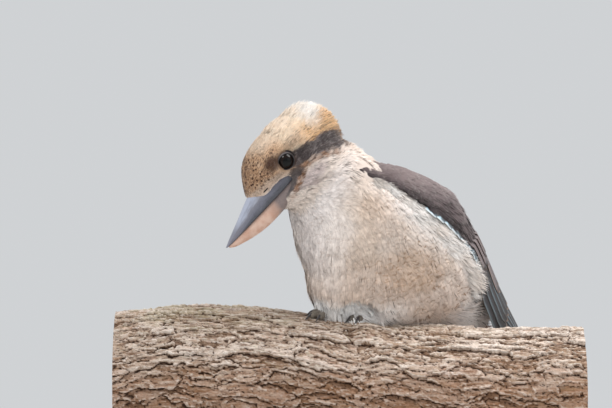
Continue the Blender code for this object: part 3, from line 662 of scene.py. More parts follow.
def make_feather_group():
    """Colour of small feathers: fine ripples and spots over the coat, tip bars, streaks, pale fringe."""
    number, colour = "NodeSocketFloat", "NodeSocketColor"
    tree, given, out = new_group(
        "feather_marks",
        (
            ("Tint", colour, (0.8, 0.7, 0.6, 1.0)),
            ("Mark Colour", colour, (0.3, 0.2, 0.1, 1.0)),
            ("Ripple", number, 0.5),
            ("Spots", number, 0.0),
            ("Hairs", number, 0.1),
            ("Along", number, 0.5),
            ("Across", number, 0.0),
            ("Chance", number, 0.5),
            ("Variation", number, 0.25),
            ("Painted Root Shadow", number, 0.6),
            ("Fringe", number, 0.22),
            ("Ripple Size", number, 0.0042),
            ("Spot Size", number, 0.0034),
        ),
        (("Colour", colour), ("Height", number), ("Roughness", number)),
    )
    take = given.outputs
    place = object_place(tree)
    fine = noise(place, 1400.0, 2.0, 0.6)
    broad = noise(place, 110.0, 2.0, 0.5)
    uneven = noise(place, 330.0, 2.0, 0.6)
    # ripples: thin broken lines that cross the way the breast feathers lie
    split = node(tree, "ShaderNodeSeparateXYZ", {"Vector": place}).outputs
    down = plus(times(split["X"], 0.36), times(split["Z"], -0.93))
    phase = maths("DIVIDE", down, take["Ripple Size"])
    for value, reach in ((broad, 3.0), (uneven, 1.1), (take["Chance"], 0.34)):
        phase = plus(phase, times(value, reach))
    wave = ramp(maths("SINE", times(phase, WHOLE_TURN)), 0.10, 1.0)
    gaps = noise(place, 230.0, 1.0, 0.5)
    ripple = times(times(wave, ramp(gaps, 0.38, 0.62, 0.05, 1.0)), take["Ripple"])
    # spots: dark feather centres, close together
    inputs = {"Vector": place, "Scale": maths("DIVIDE", 1.0, take["Spot Size"]), "Randomness": 0.85}
    cells = node(tree, "ShaderNodeTexVoronoi", inputs, feature="F1")
    near = plus(cells.outputs["Distance"], wander(uneven, 0.5))
    spot = ramp(near, 0.20, 0.40, 1.0, 0.0)
    middle = ramp(maths("ABSOLUTE", take["Across"]), 0.25, 0.65, 1.0, 0.0)
    middle = times(middle, ramp(take["Chance"], 0.40, 0.50))
    spot = maths("MAXIMUM", spot, times(middle, 0.85))
    spot = times(spot, take["Spots"])
    marks = maths("MAXIMUM", ripple, spot, clamp=True)
    colour_now = mix(marks, take["Tint"], take["Mark Colour"])
    bent = times(maths("POWER", maths("ABSOLUTE", take["Across"]), 2.0), 0.22)
    level = plus(take["Along"], bent)
    fringe = times(ramp(level, 0.80, 1.0), take["Fringe"])
    colour_now = mix(fringe, colour_now, (0.86, 0.82, 0.77))
    spread = wander(take["Chance"], take["Variation"])
    # each strand of a feather has its own tone, and a few are dark hairs
    inputs = {
        "X": maths("ROUND", times(take["Across"], 60.0)),
        "Y": maths("ROUND", times(take["Chance"], 5000.0)),
    }
    inputs = {"Vector": node(tree, "ShaderNodeCombineXYZ", inputs).outputs[0]}
    strand = node(tree, "ShaderNodeTexWhiteNoise", inputs, noise_dimensions="2D").outputs["Value"]
    hair = maths("LESS_THAN", strand, times(take["Hairs"], 0.5))
    hair = times(hair, ramp(take["Along"], 0.30, 0.60, 0.1, 0.75))
    colour_now = mix(hair, colour_now, shade(74, 60, 54))
    value = plus(plus(1.0, wander(strand, 0.20)), plus(spread, wander(fine, 0.30)))
    # each feather is painted darker towards its root, as painted shade under the feathers that lie over it
    value = times(value, ramp(take["Along"], 0.0, 0.6, take["Painted Root Shadow"], 1.0))
    give(out.inputs["Colour"], toned(colour_now, value))
    give(out.inputs["Height"], fine)
    give(out.inputs["Roughness"], plus(0.62, times(fine, 0.28)))
    return tree


def wear_feathers(shader, inner, gloss, bump):
    """Gives a shader the colour, roughness and bump that a group works out."""
    give(shader.inputs["Base Color"], inner.outputs["Colour"])
    give(shader.inputs["Roughness"], inner.outputs["Roughness"])
    shader.inputs["Specular IOR Level"].default_value = gloss
    shader.inputs["Sheen Weight"].default_value = FEATHER_SHEEN
    add_bump(shader, inner.outputs["Height"], *bump)


def small_feather_material(name, group, mark_colour, variation, painted_root_shadow):
    made, tree, shader = new_material(name, 0.75)
    inputs = {label: attribute(tree, label.lower()) for label in ("Along", "Across", "Chance")}
    inputs.update(zip(("Ripple", "Spots", "Hairs"), split_attribute(tree, "marks")))
    inputs.update({
        "Tint": attribute(tree, "tint", "Color"),
        "Mark Colour": (*mark_colour, 1.0),
        "Variation": variation,
        "Painted Root Shadow": painted_root_shadow,
    })
    inner = node(tree, "ShaderNodeGroup", node_tree=group)
    for label, value in inputs.items():
        give(inner.inputs[label], value)
    wear_feathers(shader, inner, SOFT_SHINE, (0.3, 0.0003))
    shader.inputs["Sheen Roughness"].default_value = 0.5
    return made


def long_vane_material(name, group):
    """Flight and tail feathers: painted colour, fine barbs slanting from the shaft, soft wear."""
    made, tree, shader = new_material(name, 0.5)
    barbs = node(tree, "ShaderNodeGroup", node_tree=group)
    for label, part in (("Barb", "Fac"), ("Across", "Fac"), ("Tint", "Color")):
        give(barbs.inputs[label], attribute(tree, label.lower(), part))
    wear_feathers(shader, barbs, VANE_SHINE, (0.5, 0.00035))
    return made


def make_barb_group():
    number, colour = "NodeSocketFloat", "NodeSocketColor"
    tree, given, out = new_group(
        "barbs",
        (("Tint", colour, (0.2, 0.15, 0.13, 1.0)), ("Barb", number, 0.0), ("Across", number, 0.0)),
        (("Colour", colour), ("Height", number), ("Roughness", number)),
    )
    take = given.outputs
    place = object_place(tree)
    broad = noise(place, 90.0, 3.0, 0.55)
    fine = noise(place, 900.0, 2.0, 0.6)
    phase = plus(take["Barb"], times(broad, 0.9))
    wave = maths("SINE", times(phase, WHOLE_TURN))
    wave = maths("MULTIPLY_ADD", wave, 0.5, 0.5)
    value = plus(0.80, times(wave, 0.14))
    value = plus(value, times(broad, 0.26))
    value = plus(value, wander(fine, 0.3))
    shaft = ramp(maths("ABSOLUTE", take["Across"]), 0.03, 0.09, 0.55, 0.0)
    give(out.inputs["Colour"], mix(shaft, toned(take["Tint"], value), (0.035, 0.025, 0.022)))
    give(out.inputs["Height"], plus(wave, times(fine, 0.6)))
    give(out.inputs["Roughness"], plus(0.45, times(broad, 0.25)))
    return tree


# Skin: markings, lie of the feathers and their size, all from places on the bird

STRIPE_X = (-0.075, -0.062, -0.056, -0.042, -0.029, -0.015, -0.008, 0.0, 0.015, 0.026)
STRIPE_Z = (-0.044, -0.033, -0.027, -0.0175, -0.0114, -0.0051, -0.0044, -0.001, 0.0056, 0.008)
STRIPE_HALF = (0.0050, 0.0075, 0.0090, 0.0097, 0.0076, 0.0068, 0.0062, 0.0076, 0.0040, 0.0015)

# guides for the lie: place and direction, in the head frame and in the bird's frame
HEAD_LIE = (
    ((0.034, 0.000, 0.006), (-1.0, 0.0, 0.35)),
    ((0.015, 0.000, 0.022), (-1.0, 0.0, 0.10)),
    ((-0.020, 0.000, 0.026), (-1.0, 0.0, -0.05)),
    ((-0.055, 0.000, 0.014), (-1.0, 0.0, 0.05)),
    ((-0.075, 0.000, -0.006), (-0.8, 0.0, -0.8)),
    ((0.000, 0.022, 0.013), (-1.0, 0.05, 0.10)),
    ((0.020, 0.018, -0.002), (-1.0, 0.20, 0.12)),
    ((0.002, 0.024, -0.014), (-1.0, 0.05, -0.35)),
    ((-0.020, 0.030, -0.004), (-1.0, 0.0, -0.18)),
    ((-0.050, 0.026, -0.018), (-1.0, -0.1, -0.42)),
    ((-0.015, 0.030, -0.024), (-1.0, 0.0, -0.55)),
    ((0.004, 0.020, -0.028), (-1.0, 0.0, -0.75)),
    ((0.014, 0.000, -0.034), (-1.0, 0.0, -0.60)),
)
BODY_LIE = (
    ((-0.030, 0.000, 0.150), (-1.0, 0.0, -0.70)),
    ((-0.070, 0.000, 0.115), (-1.0, 0.0, -0.75)),
    ((-0.120, 0.000, 0.075), (-0.8, 0.0, -1.0)),
    ((-0.165, 0.000, 0.030), (-0.7, 0.0, -1.0)),
    ((0.000, 0.045, 0.118), (-0.75, 0.0, -1.0)),
    ((0.040, 0.000, 0.085), (0.05, 0.0, -1.0)),
    ((0.030, 0.030, 0.065), (-0.10, 0.05, -1.0)),
    ((-0.010, 0.055, 0.080), (-0.50, 0.0, -1.0)),
    ((-0.060, 0.060, 0.055), (-0.70, 0.0, -0.85)),
    ((-0.105, 0.050, 0.040), (-0.90, 0.0, -0.60)),
    ((0.015, 0.000, 0.030), (-0.10, 0.0, -1.0)),
    ((0.000, 0.035, 0.020), (-0.15, 0.0, -1.0)),
    ((-0.050, 0.052, 0.015), (-0.35, 0.0, -1.0)),
    ((-0.040, 0.000, -0.018), (-1.0, 0.0, -0.30)),
    ((-0.110, 0.030, 0.000), (-1.0, 0.0, -0.35)),
    ((-0.150, 0.020, -0.006), (-1.0, 0.0, -0.75)),
)


def lie_of_feathers(points, out):
    """The way that feathers point, along the skin, from a few guides and away from the eye."""
    total = np.zeros_like(points)
    # the head is turned a little, so its guides are laid out on each side by themselves
    for where, guides, core, turned in (
        (bird_to_head(points), HEAD_LIE, 0.006, HEAD_TURN.T),
        (points, BODY_LIE, 0.008, np.eye(3)),
    ):
        sides = np.where(where[:, 1:2] < 0, -1.0, 1.0)
        signs = np.concatenate([np.ones_like(sides), sides, np.ones_like(sides)], 1)
        flipped = mirrored(where)
        for place, way in guides:
            away = ((flipped - np.array(place)) ** 2).sum(-1) + core**2
            total += (unit(np.array(way) * signs) @ turned) / (away**1.5)[:, None]
    total = unit(total)
    for side in (1.0, -1.0):
        centre = head_to_bird(np.array(EYE_CENTRE) * (1.0, side, 1.0))
        off = points - centre
        reach = np.linalg.norm(off, axis=-1, keepdims=True)
        total += 1.7 * off / reach * np.exp(-((np.maximum(reach - 0.010, 0.0) / 0.0045) ** 2))
    total -= out * (total * out).sum(-1, keepdims=True)
    total = unit(total)
    # tufts: the lie swings a little from place to place
    swing = (soft_noise(points, 0.0105, 78) - 0.5) * 1.1 + (soft_noise(points, 0.0048, 79) - 0.5) * 0.7
    swing = (swing * (1.0 - 0.6 * headness(points)))[:, None]
    return unit(total * np.cos(swing) + np.cross(out, total) * np.sin(swing))


def mark_of(points, centre, radii):
    """A soft-edged patch, from 0 outside to 1 in its middle."""
    away = np.linalg.norm((points - np.array(centre)) / np.array(radii), axis=-1)
    return ease(-away, -1.25, -0.45)


def layer(colours, share, colour):
    return colours + (colour - colours) * share[:, None]


# patches of other colours on the body: share, centre, radii, colour
BODY_PATCHES = (
    (0.50, (-0.008, 0.047, 0.088), (0.018, 0.018, 0.014), shade(190, 158, 130)),
    (0.75, (-0.046, 0.056, 0.034), (0.038, 0.024, 0.024), shade(176, 144, 116)),
    (0.60, (-0.012, 0.046, 0.022), (0.040, 0.028, 0.026), shade(180, 154, 134)),
    (0.45, (-0.022, 0.054, 0.068), (0.024, 0.022, 0.018), shade(196, 172, 152)),
)


# the rusty edge under the cheek and the bare line along the gape: forward places and heights
GAPE_EDGE = ((-0.006, 0.0, 0.0095, 0.018, 0.024), (-0.0135, -0.0158, -0.0212, -0.0262, -0.029))
GAPE_LINE = ((-0.004, 0.004, 0.009, 0.017, 0.027), (-0.0112, -0.0128, -0.0160, -0.0195, -0.0222))


def plumage(points):
    """Markings at places on the bird: colour, and how strong its ripples, spots and dark hairs are."""
    local = bird_to_head(points)
    hx, hy, hz = local.T
    side = mirrored(local)
    flipped = mirrored(points)
    on_head = headness(points, -0.020, -0.008)
    t, angle = trunk_place(points)
    angle = np.abs(angle)
    cloud = soft_noise(points, 0.022, 3)
    fine = soft_noise(points, 0.006, 5)
    tiny = soft_noise(points, 0.0026, 6)
    streak = soft_noise(local * (0.24, 1.0, 1.0), 0.0017, 8)
    upper, lower = wing_span(t)

    # body
    colours = np.tile(CREAM, (len(points), 1))
    colours = layer(colours, ease(cloud, 0.45, 0.80) * 0.35, WARM)
    # the lower body is painted darker and browner: partly its own tone, partly painted shade on the underside
    colours = layer(colours, ease(-points[:, 2], -0.060, -0.010) * 0.35, shade(196, 172, 156))
    for share, centre, radii, colour in BODY_PATCHES:
        colours = layer(colours, share * (0.6 + 0.4 * fine) * mark_of(flipped, centre, radii), colour)
    colours = layer(colours, 0.55 * mark_of(points, (0.034, -0.010, 0.058), (0.026, 0.034, 0.040)), MAUVE)
    near_wing = ease(angle - lower, -14.0, -2.0) * ease(lower - angle, -28.0, -10.0)
    near_wing = near_wing * ease(-t, -0.075, -0.040) * ease(t, -0.100, -0.080)
    colours = layer(colours, near_wing * 0.7, WHITE)
    low = ease(-points[:, 2], -0.012, 0.004) * ease(points[:, 0], -0.060, -0.030)
    colours = layer(colours, low * 0.75, WHITE)
    vent = ease(-t, 0.050, 0.080) * ease(angle, 70.0, 92.0)
    colours = layer(colours, vent * 0.95, shade(250, 248, 248))
    back = ease(upper - angle, -16.0, -7.0) * ease(-t, -0.082, -0.066)
    brown = layer(np.tile(MANTLE, (len(points), 1)), ease(fine, 0.5, 0.9) * 0.35, shade(146, 128, 120))
    colours = colours + (brown - colours) * back[:, None]
    rump = ease(-t, 0.048, 0.066) * ease(-angle, -74.0, -56.0)
    colours = layer(colours, rump * 0.85, RUFOUS)
    ripple = 0.55 + 0.45 * ease(soft_noise(points, 0.018, 9), 0.35, 0.75)
    ripple = ripple * (0.30 + 0.70 * ease(-points[:, 0], -0.010, 0.036))
    ripple = ripple * (1.0 - 0.45 * near_wing) * (1.0 - 0.6 * low) * (1.0 - 0.8 * vent) * (1.0 - 0.5 * back)
    ripple = np.maximum(ripple, 0.85 * rump)
    spots = 0.15 * near_wing
    hairs = 0.01 + 0.16 * near_wing + 0.16 * np.maximum(low, vent) * (1.0 - back)
    edge_hairs = ease(angle - lower, -6.0, 1.0) * ease(lower - angle, -12.0, -5.0)
    hairs = hairs + 0.7 * edge_hairs * ease(t, 0.022, 0.038)

    # head
    head = np.tile(CREAM, (len(points), 1))
    line = np.interp(hx, STRIPE_X, STRIPE_Z)
    half = np.interp(hx, STRIPE_X, STRIPE_HALF)
    over = hz - line
    flank_of_head = ease(np.abs(hy), 0.006, 0.012)
    crown = ease(over, -0.001, 0.003)
    pale = layer(np.tile(shade(244, 224, 200), (len(points), 1)), ease(cloud, 0.3, 0.8) * 0.4, GOLD)
    gold = ease(-hx, 0.012, 0.034) * (1.0 - ease(hz, 0.004, 0.016))
    pale = layer(pale, gold * 0.85, shade(236, 190, 138))
    pale = layer(pale, gold * ease(-over, -0.014, -0.006) * (0.5 + 0.5 * fine), shade(196, 144, 92))
    tip = ease(-hx, 0.030, 0.046) * ease(hz + 0.35 * hx, -0.019, -0.005)
    tip = np.maximum(tip, 0.6 * ease(-hx, 0.010, 0.028) * ease(hz, 0.018, 0.025))
    pale = layer(pale, tip, shade(248, 242, 236))
    gold = gold * (1.0 - 0.5 * tip)
    head = head + (pale - head) * crown[:, None]
    front = ease(hx, -0.016, 0.004) * ease(over, -0.018, -0.006)
    low_front = ease(hx, 0.008, 0.028)
    high_front = ease(hz, 0.015, 0.024) * (1.0 - ease(hx, 0.006, 0.018))
    head = layer(head, front * 0.95, FOREHEAD)
    head = layer(head, front * low_front * 0.9, shade(188, 148, 114))
    head = layer(head, high_front * 0.8, shade(242, 222, 200))
    head = layer(head, front * ease(tiny, 0.45, 0.75) * 0.40, shade(228, 200, 174))
    jaw = front * ease(-over, 0.004, 0.010) * ease(hx, 0.006, 0.016)
    head = layer(head, jaw * 0.85, shade(224, 204, 188))
    brow = mark_of(side, (-0.0150, 0.0245, 0.0085), (0.0105, 0.009, 0.0062))
    head = layer(head, brow * 0.35, shade(176, 142, 118))
    nape = ease(-hx, 0.046, 0.060) * ease(-over, -0.010, -0.002) * ease(over, -0.024, -0.010)
    head = layer(head, nape * 0.8, shade(160, 128, 100))
    grey_cheek = mark_of(side, (-0.004, 0.031, -0.0250), (0.019, 0.012, 0.0072))
    head = layer(head, grey_cheek * 0.8, shade(206, 190, 188))
    crease_painted_shadow = cheek_crease(local)
    rust = ease(-np.abs(over + half + 0.0014), -0.0060, -0.0018) * ease(-hx, -0.002, 0.003)
    rust = rust * ease(hx, -0.052, -0.030) * flank_of_head * (0.45 + 0.55 * ease(tiny, 0.3, 0.6))
    gape_edge = np.interp(hx, *GAPE_EDGE)
    gape_rust = ease(-np.abs(hz - gape_edge), -0.0042, -0.0014) * ease(hx, -0.008, -0.002)
    gape_rust = gape_rust * ease(-hx, -0.024, -0.012) * flank_of_head
    rust = np.maximum(rust, gape_rust * (0.5 + 0.5 * ease(tiny, 0.3, 0.6)))
    head = layer(head, rust * 0.9, RUST)
    head = layer(head, rust * ease(streak, 0.5, 0.7) * 0.6, shade(112, 82, 62))
    stripe = ease(half - np.abs(over), -0.0010, 0.0012) * flank_of_head * ease(hx, -0.072, -0.056)
    ahead = ease(hx, 0.002, 0.008)
    stripe = stripe * (1.0 - ahead)
    dark = layer(np.tile(STRIPE, (len(points), 1)), ease(streak, 0.45, 0.80) * 0.6, shade(138, 126, 124))
    dark = layer(dark, ease(-hx, 0.044, 0.062) * ease(streak, 0.2, 0.7) * 0.7, shade(158, 132, 108))
    head = head + (dark - head) * stripe[:, None]
    frayed = ease(-hx, 0.050, 0.066) * ease(half + 0.006 - np.abs(over), 0.0, 0.004) * (1.0 - stripe)
    head = layer(head, frayed * ease(tiny, 0.42, 0.60) * 0.8, shade(112, 84, 66))
    lore = mark_of(side, (0.0118, 0.0225, 0.0082), (0.0098, 0.010, 0.0078))
    head = layer(head, lore * 0.93, shade(72, 44, 31))
    rim = np.linalg.norm(side - np.array(EYE_CENTRE), axis=-1)
    rim = ease(-rim, -0.0125, -0.0100) * ease(over, -0.012, -0.004)
    head = layer(head, rim * 0.7, shade(72, 50, 40))
    gape_line = np.interp(hx, *GAPE_LINE)
    bare = ease(-np.abs(hz - gape_line), -0.0040, -0.0024) * ease(hx, -0.007, -0.001) * flank_of_head
    head = layer(head, bare * (0.75 + 0.2 * fine), GAPE)
    colours = colours + (head - colours) * on_head[:, None]
    # painted shadow along the fold where the cheek lies over the throat
    colours = layer(colours, crease_painted_shadow * 0.5, shade(146, 128, 124))
    # the throat is painted near white: partly its own pale colour, partly painted light against the shade
    # under the chin
    throat = ease(-np.linalg.norm(points - EYES_MIDDLE, axis=-1), -0.075, -0.045) * (1.0 - on_head)
    colours = layer(colours, throat * 0.9, shade(250, 240, 238))
    # the front of the breast is painted paler: partly its own colour, partly painted light as from a low lamp
    # in front
    pale_front_and_painted_light = ease(points[:, 0], 0.006, 0.030) * (1.0 - on_head)
    colours = layer(colours, pale_front_and_painted_light * 0.5, shade(248, 243, 242))
    # the down over the toes is painted pure white: its own white, and painted light against the shade in the
    # hollow over the feet
    white_feet_and_painted_light = 1.0 - ease(foot_clearance(points), 0.008, 0.020)
    colours = layer(colours, white_feet_and_painted_light, shade(255, 252, 250))

    speckled = front * (0.75 + 0.25 * low_front) * (1.0 - 0.25 * jaw) * (1.0 - 0.7 * high_front)
    speckled = np.maximum(speckled, crown * (0.26 - 0.24 * tip) * (1.0 - front) * (0.5 + gold))
    speckled = np.maximum(speckled, np.maximum(0.75 * nape, 0.25 * brow))
    speckled = speckled * (1.0 - stripe) * (1.0 - 0.5 * rust)
    spots = spots + (speckled - spots) * on_head
    plain = 0.14 * (1.0 - crown) * (1.0 - stripe) * (1.0 - front) * (1.0 - bare)
    ripple = ripple + (plain - ripple) * on_head
    head_hairs = 0.02 + 0.35 * nape + 0.30 * brow + 0.5 * rust + 0.15 * gold * (1.0 - tip)
    hairs = hairs + (head_hairs - hairs) * on_head
    return colours, np.stack([ripple, spots, hairs], -1)


def bill_cover(local):
    """Below 1 inside the bill, above 1 outside it, in the head frame."""
    stations = np.array(BILL_STATIONS)
    top, bottom, half = [np.interp(local[:, 0], stations[:, 0], stations[:, k]) for k in (1, 2, 3)]
    rise = np.where(
        local[:, 2] > MOUTH_LINE,
        (local[:, 2] - MOUTH_LINE) / (top - MOUTH_LINE),
        (local[:, 2] - MOUTH_LINE) / (bottom - MOUTH_LINE),
    )
    level = np.sqrt((local[:, 1] / half) ** 2 + np.abs(rise) ** 2.4)
    return np.where(local[:, 0] > stations[0, 0], level, 9.0)


def nostril_distance(side):
    """Distance from the nostril and the ground just behind it, in the head frame."""
    start, end = NOSTRIL_ENDS[0], NOSTRIL_ENDS[1] * 1.4 - NOSTRIL_ENDS[0] * 0.4
    way = end - start
    share = np.clip((side - start) @ way / (way @ way), 0.0, 1.0)[..., None]
    return np.linalg.norm(side - start - way * share, axis=-1) - 0.0016


def foot_clearance(points):
    """Distance from the toes' middle lines, in the bird's frame."""
    nearest = np.full(len(points), 1.0)
    for foot in FEET:
        for heading, length in zip(TOE_HEADINGS, TOE_LENGTHS):
            line = part_to_bird(np.array(toe_path(foot, heading, length + CLAW_LENGTH, 9)))
            away = np.linalg.norm(points[:, None, :] - line[None, :, :], axis=-1).min(1)
            nearest = np.minimum(nearest, away)
    return nearest


def branch_top(x):
    return CLAW_LEVEL - 0.016 + HUMP_HEIGHT * np.exp(-(((x - HUMP_PLACE) / HUMP_WIDTH) ** 2))


def branch_radius(x, angle):
    """Angle in radians from the top, growing towards the front."""
    swell = np.sin(31.0 * x + 2.0 * angle) + 0.6 * np.sin(57.0 * x - 3.0 * angle + 1.1)
    radius = BRANCH_RADIUS + BRANCH_SWELL * swell * (1.0 - 0.9 * np.cos(angle / 2) ** 6)
    for place, degrees, height, spread in KNOTS:
        turned = (angle - math.radians(degrees) + math.pi) % (2 * math.pi) - math.pi
        away = ((x - place) ** 2 + (turned * BRANCH_RADIUS) ** 2) / spread**2
        radius = radius + height * np.exp(-away)
    return radius


def branch_point(x, angle, lift=0.0):
    reach = branch_radius(x, angle) + lift
    middle = branch_top(x) - BRANCH_RADIUS
    return np.stack(np.broadcast_arrays(x, -reach * np.sin(angle), middle + reach * np.cos(angle)), -1)


def toe_place(foot, heading, gone, lift):
    """A place over the bark, that far from the ball of the foot along a toe's heading."""
    x0, degrees = FEET[foot]
    heading = math.radians(heading)
    angle = math.radians(degrees) - gone * math.sin(heading) / BRANCH_RADIUS
    return branch_point(np.array(x0 + gone * math.cos(heading)), np.array(angle), lift)


def toe_path(foot, heading, length, count):
    """The middle line of one toe from the ball of the foot, bent over the bark."""
    line = []
    for k in range(count):
        share = k / (count - 1)
        radius = TOE_RADIUS[0] + (TOE_RADIUS[1] - TOE_RADIUS[0]) * share
        knuckle = KNUCKLE_HEIGHT * math.sin(math.pi * share * 2.0) ** 2
        line.append(toe_place(foot, heading, length * k / (count - 1), radius - TOE_SUNK + knuckle))
    return line


def make_skin():
    """The whole skin as an even closed mesh, inside the tips of the feathers."""
    work = bmesh.new()
    for masses, place in ((BODY_MASSES, np.asarray), (HEAD_MASSES, head_to_bird)):
        for centre, radii, pitch in masses.values():
            for side in (1.0, -1.0) if centre[1] else (1.0,):
                ball = bmesh.ops.create_icosphere(work, subdivisions=4, radius=1.0)["verts"]
                rough = np.array([v.co for v in ball]) * radii
                rough = rough @ turn(0.0, pitch).T + np.array(centre) * (1.0, side, 1.0)
                for vert, co in zip(ball, place(rough)):
                    vert.co = co
    mesh = bpy.data.meshes.new("skin_balls")
    work.to_mesh(mesh)
    work.free()
    skin = evenly_meshed(put_object("skin_balls", mesh), SKIN_SPACING, "skin")
    with edited(skin.data) as work:
        for _ in range(2):
            relax(work)
            settled = settle_on_skin(np.array([v.co for v in work.verts]), 0.0, 3)
            for vert, co in zip(work.verts, settled):
                vert.co = co
        face_outward(work)
    points = places(skin.data)
    outward = unit(skin_slope(points, 0.0012))
    inner = settle_on_skin(points, -coat_depth(points), 4)
    set_places(skin.data, bird_to_part(inner))
    return skin, points, inner, outward


def wing_span(t):
    upper = np.interp(-t, [-x for x in WING_T], WING_UPPER)
    lower = np.interp(-t, [-x for x in WING_T], WING_LOWER)
    return upper, lower


def bark_gap(points):
    """Distance over the bark, for places in the bird's frame."""
    where = bird_to_part(points)
    middle = branch_top(where[:, 0]) - BRANCH_RADIUS
    return np.hypot(where[:, 1], where[:, 2] - middle) - BRANCH_RADIUS


# where one piece of the coat ends and the next begins: along the trunk, and how loose the feathers are
BREAST_END = 0.024
FLANK_END = -0.040
LOOSE_FROM = 0.4


def zones(points, inner):
    """Which part of the coat grows at each place on the skin, how long and how raised it is."""
    local = bird_to_head(points)
    side = mirrored(local)
    inner_local = bird_to_head(inner)
    hx, hz = local[:, 0], local[:, 2]
    on_head = headness(points)
    t, angle = trunk_place(points)
    round_back = np.abs(angle)
    upper, lower = wing_span(t)
    free = ease(bill_cover(inner_local), 1.0, 1.06)
    for sign in (1.0, -1.0):
        axis = eye_axis(sign)
        off = local - np.array(EYE_CENTRE) * (1.0, sign, 1.0)
        ahead = off @ axis
        wide = np.linalg.norm(off - ahead[:, None] * axis, axis=-1)
        free = free * np.where(ahead > 0.0, ease(wide, EYE_OPENING + 0.0009, EYE_OPENING + 0.0019), 1.0)
    free = free * ease(nostril_distance(side), 0.0006, 0.0012)
    foot = foot_clearance(points)
    free = free * ease(foot, 0.0022, 0.0030)
    under = ease(round_back - upper, 5.0, 9.0) * ease(lower - round_back, 3.0, 7.0)
    under = under * (t > -0.060) * (t < 0.078)
    front_tip = ease(round_back, 57.0, 63.0) * ease(93.0 - round_back, 0.0, 4.0)
    under = np.maximum(under, front_tip * (t > 0.076) * (t < 0.109))
    free = free * (1.0 - under)
    face = on_head * ease(hx, -0.011, -0.007)
    rest = on_head * (1.0 - ease(hx, -0.011, -0.007))
    near_bark = (1.0 - ease(bark_gap(points), 0.004, 0.018)) * (1.0 - on_head)
    near_foot = (1.0 - ease(foot, 0.006, 0.016)) * (1.0 - on_head)
    vent = ease(-t, 0.055, 0.075) * ease(round_back, 74.0, 90.0)
    loose = np.maximum(np.maximum(near_bark, near_foot), vent)
    body = (1.0 - on_head) * (loose <= LOOSE_FROM)
    back = (round_back < 46.0) & (t < 0.12)
    around = body * ~back
    left, head_left = angle > 0, local[:, 1] > 0
    parts = {
        "face": (face, head_left),
        "crown": (rest, head_left),
        "breast": (around * (t > BREAST_END), left),
        "flank": (around * ((t <= BREAST_END) & (t > FLANK_END)), left),
        "rear": (around * (t <= FLANK_END), left),
        "belly": ((1.0 - on_head) * (loose > LOOSE_FROM), left),
    }
    shares = {"mantle": body * back * free}
    for name, (share, on_left) in parts.items():
        shares[name + "_left"] = share * on_left * free
        shares[name + "_right"] = share * ~on_left * free
    throat = 1.0 - ease(np.linalg.norm(points - EYES_MIDDLE, axis=-1), 0.036, 0.075)
    size = (1.0 - 0.42 * throat) * (1.0 - on_head) + on_head
    away = np.linalg.norm(side - np.array(EYE_CENTRE), axis=-1)
    size = size * (0.55 + 0.45 * ease(away, 0.012, 0.020))
    size = size * (1.0 - 0.35 * ease(hx, 0.016, 0.032) * on_head)
    tuft = tuft_share(local) * on_head
    nape_fill = ease(-hx, 0.046, 0.058) * ease(-hz, 0.014, 0.024) * (1.0 - ease(-hz, 0.034, 0.046))
    size = size * (1.0 + 0.12 * tuft + 0.40 * nape_fill + 0.5 * vent)
    tufted = 0.70 + 0.45 * soft_noise(points, 0.0065, 80)
    lift = tufted + (1.0 - tufted) * on_head - 0.25 * on_head * ease(hx, 0.0, 0.02)
    rear = on_head * ease(-hx, 0.050, 0.064) * ease(hz, -0.020, -0.010)
    lift = (lift + 1.05 * tuft) * (1.0 - 0.65 * rear) + 0.4 * nape_fill
    lift = lift + 1.0 * near_bark + 1.7 * near_foot
    size = size * (1.0 - 0.40 * rear)
    size = size * (1.0 + 0.5 * near_foot)
    return shares, size, lift


def eye_axis(side):
    angle = math.radians(EYE_FORWARD)
    return np.array((math.sin(angle), side * math.cos(angle), 0.0))


def feather_mesh(name, strips, rows, width, cup, fray, thick, seed):
    """A loose feather one long and that wide: strips of barbs that fan from the root to a round end."""
    luck = np.random.default_rng(seed)
    verts, faces, along, across = [], [], [], []
    for i in range(strips):
        a = (2.0 * (i + 0.5) / strips - 1.0) * 0.94
        end = 1.0 - 0.34 * abs(a) ** 2.3 + fray * (luck.random() - 0.5)
        sway = fray * 0.5 * (luck.random() - 0.5)
        half = width / strips * thick
        start = len(verts)
        for r in range(rows + 1):
            s = r / rows
            y = end * s
            fan = min(1.0, s * 1.55) ** 0.75
            x = width / 2 * a * fan + sway * s * s
            z = -cup * a * a * width * fan + 0.05 * math.sin(math.pi * s) - 0.05 * s * s
            z += 0.012 * (luck.random() - 0.5) * s
            thin = (0.55, 1.0, 0.85, 0.7, 0.5)[min(r, 4)] if r < rows else 0.0
            for edge in (-1.0, 1.0) if r < rows else (0.0,):
                verts.append((x + edge * half * thin, y, z - 0.01 * abs(edge) * (i % 2)))
                along.append(s * end)
                across.append(a)
        for r in range(rows - 1):
            b = start + 2 * r
            faces.append((b, b + 1, b + 3, b + 2))
        b = start + 2 * (rows - 1)
        faces.append((b, b + 1, b + 2))
    mesh = bpy.data.meshes.new(name)
    mesh.from_pydata(verts, [], faces)
    keep_floats(mesh, "along", along)
    keep_floats(mesh, "across", across)
    mesh.shade_smooth()
    return bpy.data.objects.new(name, mesh)


# kind: strips, rows, width to length, cup, fray, thickness of a strip to its share of the width
FEATHER_KINDS = {
    "down": (9, 3, 0.46, 0.16, 0.20, 0.56),
    "crest": (6, 3, 0.32, 0.12, 0.28, 0.46),
    "face": (5, 2, 0.42, 0.14, 0.12, 0.60),
    "covert": (10, 3, 0.62, 0.10, 0.05, 0.62),
    "hair": (9, 3, 0.36, 0.20, 0.45, 0.36),
}


def feather_collection(kind, count=4):
    made = bpy.data.collections.new(kind + "_feathers")
    for k in range(count):
        made.objects.link(feather_mesh(f"{kind}_{k}", *FEATHER_KINDS[kind], 11 * k + len(kind)))
    return made


